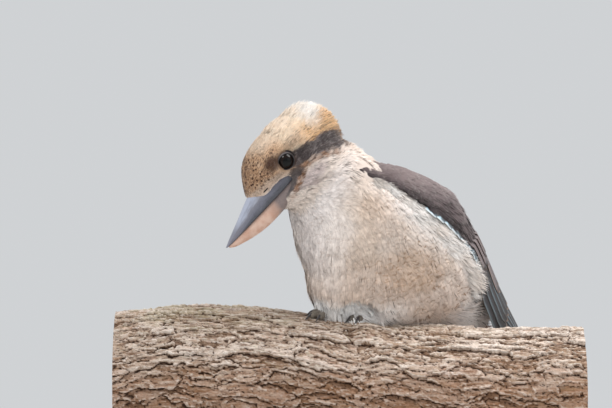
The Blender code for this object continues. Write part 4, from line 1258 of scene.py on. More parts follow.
def feather_tree():
    """Lays feathers on a skin: even random roots, turned to the lie, raised, sized and made real."""
    sockets = (
        ("Skin", "NodeSocketGeometry", None),
        ("Feathers", "NodeSocketCollection", None),
        ("Finish", "NodeSocketMaterial", None),
        ("Spacing", "NodeSocketFloat", 0.0016),
        ("Length", "NodeSocketFloat", 0.012),
        ("Lift", "NodeSocketFloat", 12.0),
        ("Ruffle", "NodeSocketFloat", 12.0),
        ("Seed", "NodeSocketInt", 1),
    )
    results = (("Coat", "NodeSocketGeometry"),)
    tree, given, out = new_group("lay_feathers", sockets, results, "GeometryNodeTree")
    given = given.outputs

    def named(name, kind="FLOAT"):
        made = node(tree, "GeometryNodeInputNamedAttribute", {"Name": name}, data_type=kind)
        return made.outputs["Attribute"]

    def chance(low, high, shift, whole=False):
        first = 4 if whole else 2
        inputs = {first: low, first + 1: high, "Seed": plus(given["Seed"], shift)}
        made = node(tree, "FunctionNodeRandomValue", inputs, data_type="INT" if whole else "FLOAT")
        return made.outputs[2 if whole else 1]

    make = functools.partial(node, tree)
    xyz = functools.partial(make, "ShaderNodeCombineXYZ")
    density = maths("DIVIDE", 2.4, times(given["Spacing"], given["Spacing"]))
    marked = make(
        "GeometryNodeDistributePointsOnFaces",
        {
            "Mesh": given["Skin"],
            "Distance Min": given["Spacing"],
            "Density Max": density,
            "Density Factor": named("share"),
            "Seed": given["Seed"],
        },
        distribute_method="POISSON",
    ).outputs["Points"]
    kept = (
        ("chance", "FLOAT", chance(0.0, 1.0, 3)),
        ("way", "FLOAT_VECTOR", named("lie", "FLOAT_VECTOR")),
        ("root", "FLOAT_VECTOR", make("GeometryNodeInputPosition").outputs[0]),
    )
    for label, kind, value in kept:
        inputs = {"Geometry": marked, "Name": label, "Value": value}
        marked = make("GeometryNodeStoreNamedAttribute", inputs, data_type=kind, domain="POINT").outputs[0]
    axes = {"Primary Axis": named("out", "FLOAT_VECTOR"), "Secondary Axis": named("lie", "FLOAT_VECTOR")}
    turned = make("FunctionNodeAxesToRotation", axes, primary_axis="Z", secondary_axis="Y").outputs[0]
    raised = times(times(given["Lift"], named("lift")), chance(0.75, 1.3, 5))
    swung = times(given["Ruffle"], chance(-1.0, 1.0, 7))
    rolled = times(given["Ruffle"], chance(-0.8, 0.8, 13))
    angles = {axis: maths("RADIANS", angle) for axis, angle in zip("XYZ", (raised, rolled, swung))}
    tilt = make("FunctionNodeEulerToRotation", {"Euler": xyz(angles).outputs[0]}).outputs[0]
    inputs = {"Rotation": turned, "Rotate By": tilt}
    rotation = make("FunctionNodeRotateRotation", inputs, rotation_space="LOCAL").outputs[0]
    length = times(times(given["Length"], named("size")), chance(0.8, 1.2, 9))
    inputs = {"Collection": given["Feathers"], "Separate Children": True, "Reset Children": True}
    pieces = make("GeometryNodeCollectionInfo", inputs).outputs[0]
    inputs = {
        "Points": marked,
        "Instance": pieces,
        "Pick Instance": True,
        "Instance Index": chance(0, 3, 11, whole=True),
        "Rotation": rotation,
        "Scale": xyz({axis: length for axis in "XYZ"}).outputs[0],
    }
    laid = make("GeometryNodeInstanceOnPoints", inputs).outputs[0]
    real = make("GeometryNodeRealizeInstances", {"Geometry": laid}).outputs[0]
    dressed = make("GeometryNodeSetMaterial", {"Geometry": real, "Material": given["Finish"]})
    give(out.inputs["Coat"], dressed.outputs[0])
    return tree


TUFT_PATCH = 0.003


def lay_coat(name, base, share, growth, tree, feathers, material, paint):
    """One coat piece over a base, painted feather by feather, as a plain mesh with its bake map."""
    mesh = base.data.copy()
    keep_floats(mesh, "share", share)
    holder = put_object(name + "_base", mesh)
    change = holder.modifiers.new("lay", "NODES")
    change.node_group = tree
    values = dict(zip(("Spacing", "Length", "Lift", "Ruffle", "Seed"), growth))
    values.update({"Feathers": feathers, "Finish": material})
    for item in tree.interface.items_tree:
        if item.in_out == "INPUT" and item.name in values:
            change[item.identifier] = values[item.name]
    coat = plain_copy(holder, name)
    mesh = coat.data
    count = len(feathers.objects[0].data.vertices)
    roots = part_to_bird(read_floats(mesh, "root", 3)[::count])
    ways = read_floats(mesh, "way", 3)[::count] @ BIRD_TURN
    colours, marks, patch = paint(roots, ways, growth[1])
    for spare in ("lie", "out", "size", "lift", "share", "root", "way"):
        if spare in mesh.attributes:
            mesh.attributes.remove(mesh.attributes[spare])
    keep_colours(mesh, "tint", np.repeat(colours, count, 0))
    keep_vectors(mesh, "marks", np.repeat(marks, count, 0))
    along, across = read_floats(mesh, "along"), read_floats(mesh, "across")
    within = np.stack([across * 0.5, along - 0.5], -1)
    keep_bake_map(mesh, np.repeat(patch, count, 0) + TUFT_PATCH * within)
    mesh.materials.clear()
    mesh.materials.append(material)
    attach(coat, "root")
    return coat


# Pieces of the body's coat: kind, then spacing, length, lift and ruffle, whose markings, and the sides
COATS = {
    "face": ("face", (0.00078, 0.0042, 13.0, 12.0), "head", ("_left", "_right")),
    "crown": ("crest", (0.00096, 0.0086, 13.0, 13.0), "head", ("_left", "_right")),
    "mantle": ("down", (0.00190, 0.0130, 11.0, 9.0), "body", ("",)),
    "breast": ("down", (0.00142, 0.0112, 12.0, 10.0), "body", ("_left", "_right")),
    "flank": ("down", (0.00150, 0.0124, 12.0, 12.0), "body", ("_left", "_right")),
    "rear": ("down", (0.00165, 0.0134, 12.0, 12.0), "body", ("_left", "_right")),
    "belly": ("hair", (0.00135, 0.0150, 13.0, 16.0), "body", ("_left", "_right")),
}
FIRST_SEED = 21


def seen_places(roots, ways, length):
    """Where the open part of each feather shows, on the coat's outer surface."""
    return settle_on_skin(roots + ways * length * 0.55, 0.0, 2)


def paint_head(roots, ways, length):
    local = bird_to_head(roots)
    round_head = np.degrees(np.arctan2(local[:, 1], -(local[:, 2] + 0.008))) / 360.0 + 0.5
    patch = np.stack([round_head, (local[:, 0] + 0.09) / 0.14], -1)
    return *plumage(seen_places(roots, ways, length)), patch


def paint_body(roots, ways, length):
    t, angle = trunk_place(roots)
    patch = np.stack([angle / 360.0 + 0.5, (t + 0.17) / 0.33], -1)
    return *plumage(seen_places(roots, ways, length)), patch


def make_body(tree, kinds, materials):
    skin, points, inner, outward = make_skin()
    mesh = skin.data
    shares, size, lift = zones(points, inner)
    ways = lie_of_feathers(points, outward)
    skin_look = put_object("body_skin", mesh.copy())
    colours, marks = plumage(points)
    keep_colours(skin_look.data, "tint", colours)
    keep_vectors(mesh, "lie", ways @ BIRD_TURN.T)
    keep_vectors(mesh, "out", outward @ BIRD_TURN.T)
    keep_floats(mesh, "size", size)
    keep_floats(mesh, "lift", lift)
    paints = {"head": (paint_head, "head_down"), "body": (paint_body, "breast_down")}
    seed = FIRST_SEED
    for zone, (kind, growth, key, sides) in COATS.items():
        paint, slot = paints[key]
        for side in sides:
            name, share = f"{zone}_feathers{side}", shares[zone + side]
            coat = lay_coat(name, skin, share, (*growth, seed), tree, kinds[kind], materials[key], paint)
            seed += 1
    bpy.data.objects.remove(skin, do_unlink=True)
    finish_piece(skin_look, materials["skin"], "breast_down", "torso", "neck", "head")


# Wings

REACH_T = np.linspace(WING_T[0] + 0.01, WING_T[-1] - 0.02, 90)
REACH_V = np.linspace(-0.25, 1.50, 46)


def reach_table():
    """How far the skin is from the trunk's axis, at each place of the wing's bed."""
    t, v = np.meshgrid(REACH_T, REACH_V, indexing="ij")
    upper, lower = wing_span(t)
    angle = np.radians(upper + (lower - upper) * v)
    ray = TRUNK_SPINE * np.cos(angle)[..., None] + np.array((0.0, 1.0, 0.0)) * np.sin(angle)[..., None]
    start = TRUNK_CENTRE + TRUNK_AXIS * t[..., None]
    near, far = np.zeros_like(t), np.full_like(t, 0.110)
    for _ in range(20):
        middle = (near + far) / 2
        inside = skin_distance((start + ray * middle[..., None]).reshape(-1, 3)).reshape(t.shape) < 0
        near, far = np.where(inside, middle, near), np.where(inside, far, middle)
    free = np.interp(-t, [-WING_FREE_T[0], -WING_FREE_T[1]], WING_FREE)
    free = np.where(t < WING_FREE_T[0], free, 0.0)
    return np.maximum(near, free)


REACH = reach_table()


def wing_reach(t, v):
    i = np.clip((REACH_T[0] - t) / (REACH_T[0] - REACH_T[1]), 0, len(REACH_T) - 1.001)
    j = np.clip((v - REACH_V[0]) / (REACH_V[1] - REACH_V[0]), 0, len(REACH_V) - 1.001)
    a, b = i.astype(int), j.astype(int)
    p, q = i - a, j - b
    top = REACH[a, b] * (1 - q) + REACH[a, b + 1] * q
    return top * (1 - p) + (REACH[a + 1, b] * (1 - q) + REACH[a + 1, b + 1] * q) * p


def wing_thickness(t, v):
    bow = 1.0 - (2.0 * np.clip(v, 0.0, 1.0) - 1.0) ** 2
    thick = np.interp(-t, [-x for x in WING_T], WING_THICK)
    return thick * (WING_EDGE + (1.0 - WING_EDGE) * bow)


def wing_points(t, v, height, side):
    """Places at a height over the wing's outer surface, in the bird's frame."""
    t, v = np.asarray(t, float), np.asarray(v, float)
    upper, lower = wing_span(t)
    angle = np.radians(upper + (lower - upper) * v)
    ray = TRUNK_SPINE * np.cos(angle)[..., None]
    ray = ray + np.array((0.0, side, 0.0)) * np.sin(angle)[..., None]
    swell = np.interp(t, SWELL_T, WING_SWELL)
    raised = ease(v, -0.02, 0.24) * (1.0 - ease(v, 0.45, 0.92))
    swell = swell * np.where(swell > 0.0, raised, 1.0 - ease(v, 0.60, 0.95))
    reach = wing_reach(t, v) + wing_thickness(t, v) + height + swell
    return TRUNK_CENTRE + TRUNK_AXIS * t[..., None] + ray * reach[..., None], ray


VANE_ROWS = 16
VANE_COLUMNS = 8
WING_VANE_CURL = 0.035
WING_VANE_LEAN = 3.5
FIRST_WING_SEED = 500


def vane_outline(s, blunt=0.16):
    """Half width of a long feather along its length, as a share of the widest."""
    root = 0.45 + 0.55 * ease(s, 0.0, 0.30)
    tip = np.sqrt(np.maximum(1.0 - (np.maximum(s - (1.0 - blunt), 0.0) / blunt) ** 2, 0.0))
    return root * tip


BARB_SPACING = 0.0011
BARB_SLANT = -0.45
VANE_THICKNESS = 0.00045


def long_vane(spine, normals, width, paint, curl, side, seed):
    """Places, painted colours and measures of one long feather laid along a line of places."""
    spine = np.asarray(spine, float)
    normals = unit(np.asarray(normals, float))
    along = unit(np.gradient(spine, axis=0))
    across = unit(np.cross(normals, along)) * side
    up = unit(np.cross(along, across)) * side
    s = np.linspace(0.0, 1.0, len(spine))
    a = np.linspace(-1.0, 1.0, VANE_COLUMNS + 1)
    luck = np.random.default_rng(seed)
    ragged = 1.0 + 0.05 * (luck.random((len(s), 1)) - 0.5)
    half = (width / 2 * vane_outline(s))[:, None] * ragged
    grid = spine[:, None, :] + across[:, None, :] * (a * half)[..., None]
    drop = -curl * width * a**2 + 0.00035 * np.exp(-((a / 0.10) ** 2))
    grid = grid + up[:, None, :] * np.broadcast_to(drop, half.shape[:1] + a.shape)[..., None]
    alongs = np.broadcast_to(s[:, None], grid.shape[:2])
    acrosses = np.broadcast_to(a[None, :], grid.shape[:2])
    colours = paint(alongs, acrosses)
    length = np.linalg.norm(np.diff(spine, axis=0), axis=-1).sum()
    barb = (alongs * length + np.abs(acrosses) * BARB_SLANT * width) / BARB_SPACING
    return grid, colours, alongs, acrosses, barb


class VaneBundle:
    """Gathers long feathers and joins them into one mesh with a front and a back to each."""

    def __init__(self):
        self.verts, self.faces, self.colours, self.patch = [], [], [], []
        self.kept = {"along": [], "across": [], "barb": []}
        self.count = 0

    def add(self, vane, up, patch):
        grid, colours, *kept = vane
        rows, columns = grid.shape[:2]
        # the back sheet of each feather gets three quarters of the colour, as painted shade on the underside
        for depth, light in ((0.0, 1.0), (-VANE_THICKNESS, 0.75)):
            self.verts.append((grid + up * depth).reshape(-1, 3))
            self.colours.append(colours.reshape(-1, 3) * light)
            for values, gathered in zip(kept, self.kept.values()):
                gathered.append(values.reshape(-1))
            self.patch.append(np.tile(np.array(patch), (rows * columns, 1)))
        self.faces += (slab_faces(rows, columns)[1] + self.count).tolist()
        self.count += 2 * rows * columns

    def make(self, name):
        obj = mesh_object(name, bird_to_part(np.concatenate(self.verts)), self.faces)
        mesh = obj.data
        keep_colours(mesh, "tint", np.concatenate(self.colours))
        kept = {label: np.concatenate(values) for label, values in self.kept.items()}
        for label, values in kept.items():
            keep_floats(mesh, label, values)
        within = np.stack([kept["across"] * 0.012, (kept["along"] - 0.5) * 0.12], -1)
        keep_bake_map(mesh, np.concatenate(self.patch) + within)
        with edited(mesh) as work:
            face_outward(work)
        return obj


def paint_flight(base, outer_edge, tip, tip_share, inner, edge_from=0.30, edge=0.80, dark_from=0.84):
    """Dark inner web, partly painted shade for the gaps between the folded feathers, a narrow coloured outer
    edge, dark end with a thin pale rim.
    """

    def paint(along, across):
        out = np.broadcast_to(base, along.shape + (3,)).copy()
        # the inner web is painted dark: partly the feather's own colour, partly painted shade in the gaps
        # between the feathers
        web = ease(-across, -0.30, 0.25)[..., None]
        out = out + (inner - out) * web * 0.8
        rim = ease(across, edge - 0.08, edge + 0.06) * ease(along, edge_from, edge_from + 0.2)
        rim = rim * ease(-along, -0.95, -0.88)
        out = out + (outer_edge - out) * rim[..., None]
        dark_end = (ease(along, dark_from, dark_from + 0.1) * (1.0 - 0.8 * rim))[..., None]
        out = out + (DARK_VANE * 0.4 - out) * dark_end * (1.0 - 0.4 * tip_share)
        far = np.maximum(ease(along, 0.955, 0.985), ease(np.abs(across), 0.86, 0.98) * 0.35)
        return out + (tip - out) * (far * tip_share)[..., None]

    return paint


# tier: count, root t at upper and lower end, tip t likewise, v of roots, v of tips, width, lift, paint
WING_TIERS = {
    "primaries": (
        8, (-0.050, -0.050), (-0.138, -0.150), (0.30, 0.92), (0.22, 0.86), 0.0110, -0.0030,
        paint_flight(shade(44, 37, 39), shade(150, 182, 198), TAN_EDGE, 0.5, shade(20, 17, 18), 0.35, 0.86),
    ),
    "secondaries": (
        9, (-0.005, -0.008), (-0.100, -0.122), (0.10, 0.94), (0.10, 0.88), 0.0128, -0.0024,
        paint_flight(shade(42, 35, 37), TEAL, TAN_EDGE, 0.85, shade(24, 20, 21), 0.45, 0.80, 0.72),
    ),
    "tertials": (
        6, (0.020, 0.004), (-0.078, -0.092), (0.06, 0.62), (0.08, 0.56), 0.0150, -0.0018,
        paint_flight(shade(108, 95, 95), shade(136, 122, 120), TAN_EDGE, 0.75, shade(62, 53, 55), edge=0.86),
    ),
    "greater_coverts": (
        9, (0.016, 0.008), (-0.050, -0.066), (0.08, 0.90), (0.10, 0.90), 0.0146, -0.0014,
        paint_flight(shade(116, 103, 103), shade(134, 120, 118), TAN_EDGE, 0.25, PALE_WEB, edge=0.88),
    ),
    "blue_coverts": (
        11, (0.036, -0.034), (0.018, -0.058), (0.940, 0.920), (1.015, 0.985), 0.0070, 0.0002,
        paint_flight(
            PALE_BLUE, shade(226, 234, 238), shade(236, 240, 242), 0.6, shade(84, 82, 92), 0.1, 0.70, 0.62
        ),
    ),
}


def make_wing(name, side, tree, kinds, materials):
    bundle = VaneBundle()
    number = 0
    total = sum(row[0] for row in WING_TIERS.values())
    for tier, row in WING_TIERS.items():
        count, roots, tips, root_v, tip_v, width, lift, paint = row
        for i in range(count):
            share = i / (count - 1)
            luck = np.random.default_rng(300 + number)
            t0 = roots[0] + (roots[1] - roots[0]) * share
            t1 = tips[0] + (tips[1] - tips[0]) * share**0.8 + 0.003 * (luck.random() - 0.5)
            v0 = root_v[0] + (root_v[1] - root_v[0]) * share
            v1 = tip_v[0] + (tip_v[1] - tip_v[0]) * share
            s = np.linspace(0.0, 1.0, VANE_ROWS + 1)
            s = 1.0 - (1.0 - s) ** 1.25
            height = lift - 0.0042 * (1.0 - s) ** 2 + 0.0002 * s
            spine, ray = wing_points(t0 + (t1 - t0) * s, v0 + (v1 - v0) * s, height, side)
            lean = math.radians(WING_VANE_LEAN) * side
            tilt = unit(np.cross(ray, unit(np.gradient(spine, axis=0))))
            ray = ray * math.cos(lean) + tilt * math.sin(lean)
            vane = long_vane(spine, ray, width, paint, WING_VANE_CURL, -side, FIRST_WING_SEED + number)
            bundle.add(vane, unit(ray)[:, None, :], (0.04 + 0.92 * (number + 0.5) / total, 0.5))
            number += 1
    wing = bundle.make(name)
    finish_piece(wing, materials["vane"], "wing_vane", name.replace("_feathers", ""))
    make_arm(name, side, tree, kinds, materials)
    make_fluff(name, side, tree, kinds, materials)


# spacing, length, lift and ruffle of the feathers on the wing's arm and of the down over its edge
COVERT_GROWTH = (0.00205, 0.0160, 8.0, 6.0)
FLUFF_GROWTH = (0.00125, 0.0118, 15.0, 18.0)
COVERT_SEEDS = {1.0: 71, -1.0: 72}
FLUFF_SEEDS = {1.0: 81, -1.0: 82}


def wing_v(points):
    """Distance along the trunk, and the share of the way from the wing's upper edge to its lower."""
    t, angle = trunk_place(points)
    upper, lower = wing_span(t)
    return t, (np.abs(angle) - upper) / (lower - upper)


def paint_coverts(roots, ways, length):
    """Smooth grey-brown; the lowest row is painted near black as painted shadow along the wing's lower edge.
    """
    t, v = wing_v(roots + ways * length * 0.5)
    cloud, fine = soft_noise(roots, 0.020, 14), soft_noise(roots, 0.006, 15)
    brown = np.tile(shade(110, 97, 97), (len(roots), 1))
    brown = layer(brown, ease(cloud, 0.3, 0.8) * 0.5, shade(134, 119, 117))
    brown = layer(brown, ease(fine, 0.5, 0.9) * 0.25, shade(92, 79, 79))
    brown = layer(brown, ease(soft_noise(roots, 0.013, 16), 0.5, 0.8) * ease(v, 0.4, 0.7) * 0.5,
                  shade(84, 70, 72))
    # painted shadow: the lowest row, at the wing's lower edge, is painted near black
    brown = layer(brown, ease(v, 0.78, 0.92) * 0.85, shade(50, 41, 43))
    nothing = t * 0.0
    patch = np.stack([0.08 + 0.84 * v, (t + 0.14) / 0.26], -1)
    return brown, np.stack([nothing, nothing + 0.10, nothing + 0.05], -1), patch


FLUFF_T = (-0.065, -0.048, -0.022, 0.010, 0.028, 0.045, 0.090)
FLUFF_EDGE = (1.02, 1.03, 1.02, 1.01, 0.985, 0.965, 0.950)


def paint_fluff(roots, ways, length):
    """White and cream down with dark ends, over the wing's lower edge, and painted shadow where it meets the
    wing near the shoulder.
    """
    t, v = wing_v(roots)
    luck = soft_noise(roots, 0.0034, 19)
    edge = np.interp(t, FLUFF_T, FLUFF_EDGE)
    close = ease(edge + 0.07 - v, 0.0, 0.07)
    shoulder = ease(t, 0.022, 0.038)
    colours = np.tile(shade(246, 241, 237), (len(roots), 1))
    colours = layer(colours, ease(soft_noise(roots, 0.012, 18), 0.4, 0.8) * 0.4, shade(214, 196, 180))
    colours = layer(colours, ease(luck, 0.60, 0.72) * (0.05 + 0.85 * close), shade(84, 68, 62))
    # painted shadow where the down meets the wing's edge near the shoulder
    colours = layer(colours, close * shoulder * (0.55 + 0.4 * luck), shade(66, 52, 50))
    nothing = t * 0.0
    patch = np.stack([0.2 + 0.3 * v, (t + 0.12) / 0.24], -1)
    return colours, np.stack([nothing + 0.15, nothing + 0.15, 0.04 + 0.9 * close], -1), patch


def surface_grid(t, v, height, side):
    """Rows of places over the wing and their outward directions."""
    tt, vv = np.meshgrid(t, v, indexing="ij")
    points, rays = wing_points(tt, vv, height(tt, vv), side)
    return tt, vv, points, rays


def ready_for_feathers(obj, rays, ways, size, lift):
    ways = unit(ways - rays * (ways * rays).sum(-1, keepdims=True))
    keep_vectors(obj.data, "lie", ways @ BIRD_TURN.T)
    keep_vectors(obj.data, "out", rays @ BIRD_TURN.T)
    keep_floats(obj.data, "size", size)
    keep_floats(obj.data, "lift", lift)


def make_arm(name, side, tree, kinds, materials):
    """The closed arm under the feathers, and the soft covert feathers that lie on it."""
    t, v = np.linspace(WING_T[0] - 0.001, -0.118, 66), np.linspace(0.02, 0.97, 26)

    def sunk(tt, vv):
        return -0.0012 - 0.0030 * ease(-tt, 0.00, 0.06) - 0.0036 * ease(tt, 0.050, 0.084)

    tt, vv, top, rays = surface_grid(t, v, sunk, side)
    low = wing_points(tt, vv, -wing_thickness(tt, vv) - np.where(tt > -0.04, 0.004, 0.0), side)[0]
    sheet, slab = slab_faces(*tt.shape)
    points = np.concatenate([top.reshape(-1, 3), low.reshape(-1, 3)])
    arm = mesh_object(name.replace("feathers", "arm"), bird_to_part(points), slab.tolist())
    brown = np.tile(shade(84, 73, 72), (len(points), 1))
    both_v = np.concatenate([vv.ravel(), vv.ravel()])
    # the arm is painted near black towards its lower edge, as painted shadow along the wing's lower edge
    keep_colours(arm.data, "tint", layer(brown, ease(both_v, 0.76, 0.86), shade(26, 21, 22)))
    tidy_faces(arm)
    bed = mesh_object("coverts_bed", bird_to_part(top.reshape(-1, 3)), face_out(sheet, side))
    t_flat, v_flat, rays = tt.ravel(), vv.ravel(), rays.reshape(-1, 3)
    ways = unit(np.gradient(top, axis=0)).reshape(-1, 3)
    rays = unit(rays - (rays * ways).sum(-1, keepdims=True) * ways)
    size = (0.72 + 0.42 * ease(-t_flat, -0.075, -0.01)) * (1.0 - 0.35 * ease(v_flat, 0.80, 0.92))
    ready_for_feathers(bed, rays, ways, size, 0.5 + soft_noise(top.reshape(-1, 3), 0.010, 81))
    angle = np.abs(trunk_place(top.reshape(-1, 3))[1])
    start = np.interp(angle, (45.0, 60.0, 75.0, 90.0), (0.088, 0.093, 0.099, 0.101))
    share = ease(t_flat, -0.030, -0.018) * ease(start - t_flat, 0.0, 0.004)
    share = share * ease(0.975 - v_flat, 0.0, 0.03)
    name, growth = name.replace("feathers", "coverts"), (*COVERT_GROWTH, COVERT_SEEDS[side])
    coat = lay_coat(name, bed, share, growth, tree, kinds["covert"], materials["covert"], paint_coverts)
    bpy.data.objects.remove(bed, do_unlink=True)
    finish_piece(arm, materials["skin"], "wing_vane")


def face_out(faces, side):
    """Turns the rows of faces so that they look away from the body on either side."""
    return (faces if side < 0 else faces[:, ::-1]).tolist()


def make_fluff(name, side, tree, kinds, materials):
    """Down of the flank that laps over the wing's lower edge."""
    t, v = np.linspace(0.092, -0.072, 90), np.linspace(0.88, 1.36, 22)

    def height(tt, vv):
        return -0.0016 - 0.0056 * ease(vv, 0.92, 1.34)

    tt, vv, top, rays = surface_grid(t, v, height, side)
    sheet = slab_faces(*tt.shape)[0]
    base = mesh_object("fluff_bed", bird_to_part(top.reshape(-1, 3)), face_out(sheet, side))
    t_flat, v_flat, rays = tt.ravel(), vv.ravel(), rays.reshape(-1, 3)
    down = unit(np.cross(rays, TRUNK_AXIS)) * side
    ways = -TRUNK_AXIS - 0.25 * down * np.sign((down @ -TRUNK_SPINE))[:, None]
    ready_for_feathers(base, rays, ways, 0.8 + 0.3 * ease(v_flat, 0.95, 1.2), 1.0 + v_flat * 0.0)
    edge = np.interp(t_flat, FLUFF_T, FLUFF_EDGE) + 0.05 * (soft_noise(top.reshape(-1, 3), 0.005, 23) - 0.5)
    share = ease(v_flat, edge - 0.02, edge + 0.04) * ease(-v_flat, -1.34, -1.22)
    share = share * ease(t_flat, -0.068, -0.050) * ease(0.090 - t_flat, 0.0, 0.008)
    name, growth = name.replace("feathers", "fluff"), (*FLUFF_GROWTH, FLUFF_SEEDS[side])
    coat = lay_coat(name, base, share, growth, tree, kinds["hair"], materials["body"], paint_fluff)
    bpy.data.objects.remove(base, do_unlink=True)


def make_tail(materials):
    """Twelve barred feathers, each pair under the one nearer the middle."""
    ahead, _, up = turn(0.0, -TAIL_PITCH).T
    back = -ahead
    bundle = VaneBundle()
    for pair in range(TAIL_PAIRS):
        for side in (1.0, -1.0):
            fan = math.radians(TAIL_SPREAD * (pair + 0.5) / TAIL_PAIRS) * side
            length = TAIL_LENGTH - 0.0032 * pair
            offset = side * (0.0022 + 0.0021 * pair)
            way = back * math.cos(fan) + np.array((0.0, math.sin(fan), 0.0))
            s = 1.0 - (1.0 - np.linspace(0.0, 1.0, 29)) ** 1.2
            drop = -0.0012 * (pair + (0.5 if side < 0 else 0.0)) - 0.003 * (s - 0.3) ** 2
            along_line = 0.020 + (length - 0.020) * s
            spine = TAIL_ROOT + way * along_line[:, None] + np.array((0.0, offset, 0.0))
            spine = spine + up * drop[:, None]
            normals = np.tile(up, (len(s), 1))
            seed = FIRST_TAIL_SEED + pair
            vane = long_vane(spine, normals, TAIL_VANE_WIDTH, paint_tail(pair), TAIL_VANE_CURL, side, seed)
            patch = (0.04 + 0.92 * (2 * pair + (0.5 if side > 0 else 1.5)) / (2 * TAIL_PAIRS), 0.5)
            bundle.add(vane, up[None, None, :], patch)
    tail = bundle.make("tail_feathers")
    finish_piece(tail, materials["vane"], "tail_vane", "tail")


def paint_tail(pair):
    def paint(along, across):
        out = np.broadcast_to(shade(150, 92, 56), along.shape + (3,)).copy()
        beat = along * 9.5 + 0.10 * np.sin(7.0 * across + pair) + 0.25 * np.abs(across)
        bars = ease(np.abs((beat % 1.0) - 0.5), 0.12, 0.30)
        dark = shade(58, 42, 36)
        out = out + (dark - out) * (1.0 - bars)[..., None]
        tip = ease(along, 0.885, 0.925)
        edge = ease(np.abs(across), 0.80, 0.98) * ease(float(pair), 2.5, 5.0)
        out = out + (shade(236, 228, 216) - out) * np.maximum(tip, 0.6 * edge)[..., None]
        last_bar = ease(along, 0.80, 0.83) * ease(-along, -0.885, -0.86)
        return out + (dark * 0.7 - out) * last_bar[..., None]

    return paint


# Bill, eyes and lids

def smooth_stations(stations, count):
    """Stations read at even steps with a smooth curve through them."""
    stations = np.array(stations)
    knots = np.linspace(0.0, 1.0, len(stations))
    fine = np.linspace(0.0, 1.0, count)
    slopes = np.gradient(stations, knots, axis=0)
    index = np.clip(np.searchsorted(knots, fine, side="right") - 1, 0, len(knots) - 2)
    gap = knots[index + 1] - knots[index]
    p = ((fine - knots[index]) / gap)[:, None]
    gap = gap[:, None]
    a, b, u, w = stations[index], stations[index + 1], slopes[index], slopes[index + 1]
    p2, p3 = p * p, p * p * p
    return (
        (2 * p3 - 3 * p2 + 1) * a + (p3 - 2 * p2 + p) * gap * u
        + (-2 * p3 + 3 * p2) * b + (p3 - p2) * gap * w
    )


def loft(name, rings):
    """A closed skin through rings of equal count, with its ends fanned shut."""
    rings = [np.asarray(r, float) for r in rings]
    sides = len(rings[0])
    verts = [p for ring in rings for p in ring]
    faces = tube_faces(len(rings) - 1, sides)
    for ring, first in ((rings[0], 0), (rings[-1], (len(rings) - 1) * sides)):
        middle = len(verts)
        verts.append(ring.mean(0))
        for s in range(sides):
            faces.append((first + s, first + (s + 1) % sides, middle))
    return tidy_faces(mesh_object(name, verts, faces))


def make_bill_half(name, upper, material, slot, node_name):
    stations = [list(s) for s in BILL_STATIONS]
    if not upper:
        stations[-1][0] -= BILL_LOWER_SHORT
    stations = smooth_stations(stations, 64)
    rings = []
    for number, (x, top, bottom, half) in enumerate(stations):
        share = number / (len(stations) - 1)
        reach = top - MOUTH_LINE if upper else bottom - MOUTH_LINE
        inner = MOUTH_LINE + (0.00015 if upper else -0.00015)
        ring = []
        for k in range(33):
            angle = math.pi * k / 32
            across = math.cos(angle)
            rise = max(math.sin(angle), 0.0) ** (0.85 if upper else 0.7)
            ridge = 0.0005 * math.exp(-((across / 0.16) ** 2)) * (1.0 - share) if upper else 0.0
            narrow = 1.0 if upper else 0.955
            ring.append((x, half * across * narrow, inner + reach * rise + ridge))
        for k in range(1, 12):
            y = -half * (1.0 if upper else 0.955) * (1.0 - 2.0 * k / 12)
            sag = 0.0004 * (1.0 - (y / max(half, 1e-4)) ** 2)
            ring.append((x, y, inner + (sag if upper else -sag)))
        rings.append(head_to_part(ring))
    bill = loft(name, rings)
    local = bird_to_head(part_to_bird(places(bill.data)))
    far = np.interp(local[:, 0], stations[:, 0], stations[:, 1 if upper else 2])
    rise = (local[:, 2] - MOUTH_LINE) / (far - MOUTH_LINE)
    keep_vectors(bill.data, "spot", np.stack([local[:, 0] * 100.0, rise, local[:, 1] * 100.0], -1))
    return finish_piece(bill, material, slot, node_name)


def make_nostrils(material):
    """A thin slit on each side, where the feathers of the forehead meet the bill, painted near black as the
    shade inside the nostril.
    """
    verts, faces = [], []
    middle, way = NOSTRIL_ENDS.mean(0), NOSTRIL_ENDS[0] - NOSTRIL_ENDS[1]
    out = unit(np.cross(np.cross(way, (0.2, 1.0, 0.35)), way))
    up = unit(np.cross(out, way))
    for side in (1.0, -1.0):
        start = len(verts)
        for r in range(13):
            share = r / 12
            wide = math.sin(math.pi * (0.03 + 0.94 * share)) ** 0.7
            core = middle + way * (0.5 - share) + out * 0.0006 * wide
            for k in range(12):
                turned = 2 * math.pi * k / 12
                place = core + (up * 0.00072 * math.cos(turned) + out * 0.0005 * math.sin(turned)) * wide
                verts.append(place * (1.0, side, 1.0))
        faces += tube_faces(12, 12, start)
        faces += [tuple(range(start, start + 12)), tuple(range(start + 144, start + 156))]
    slits = tidy_faces(mesh_object("nostrils", head_to_part(verts), faces))
    finish_piece(slits, material, "bill_dark")


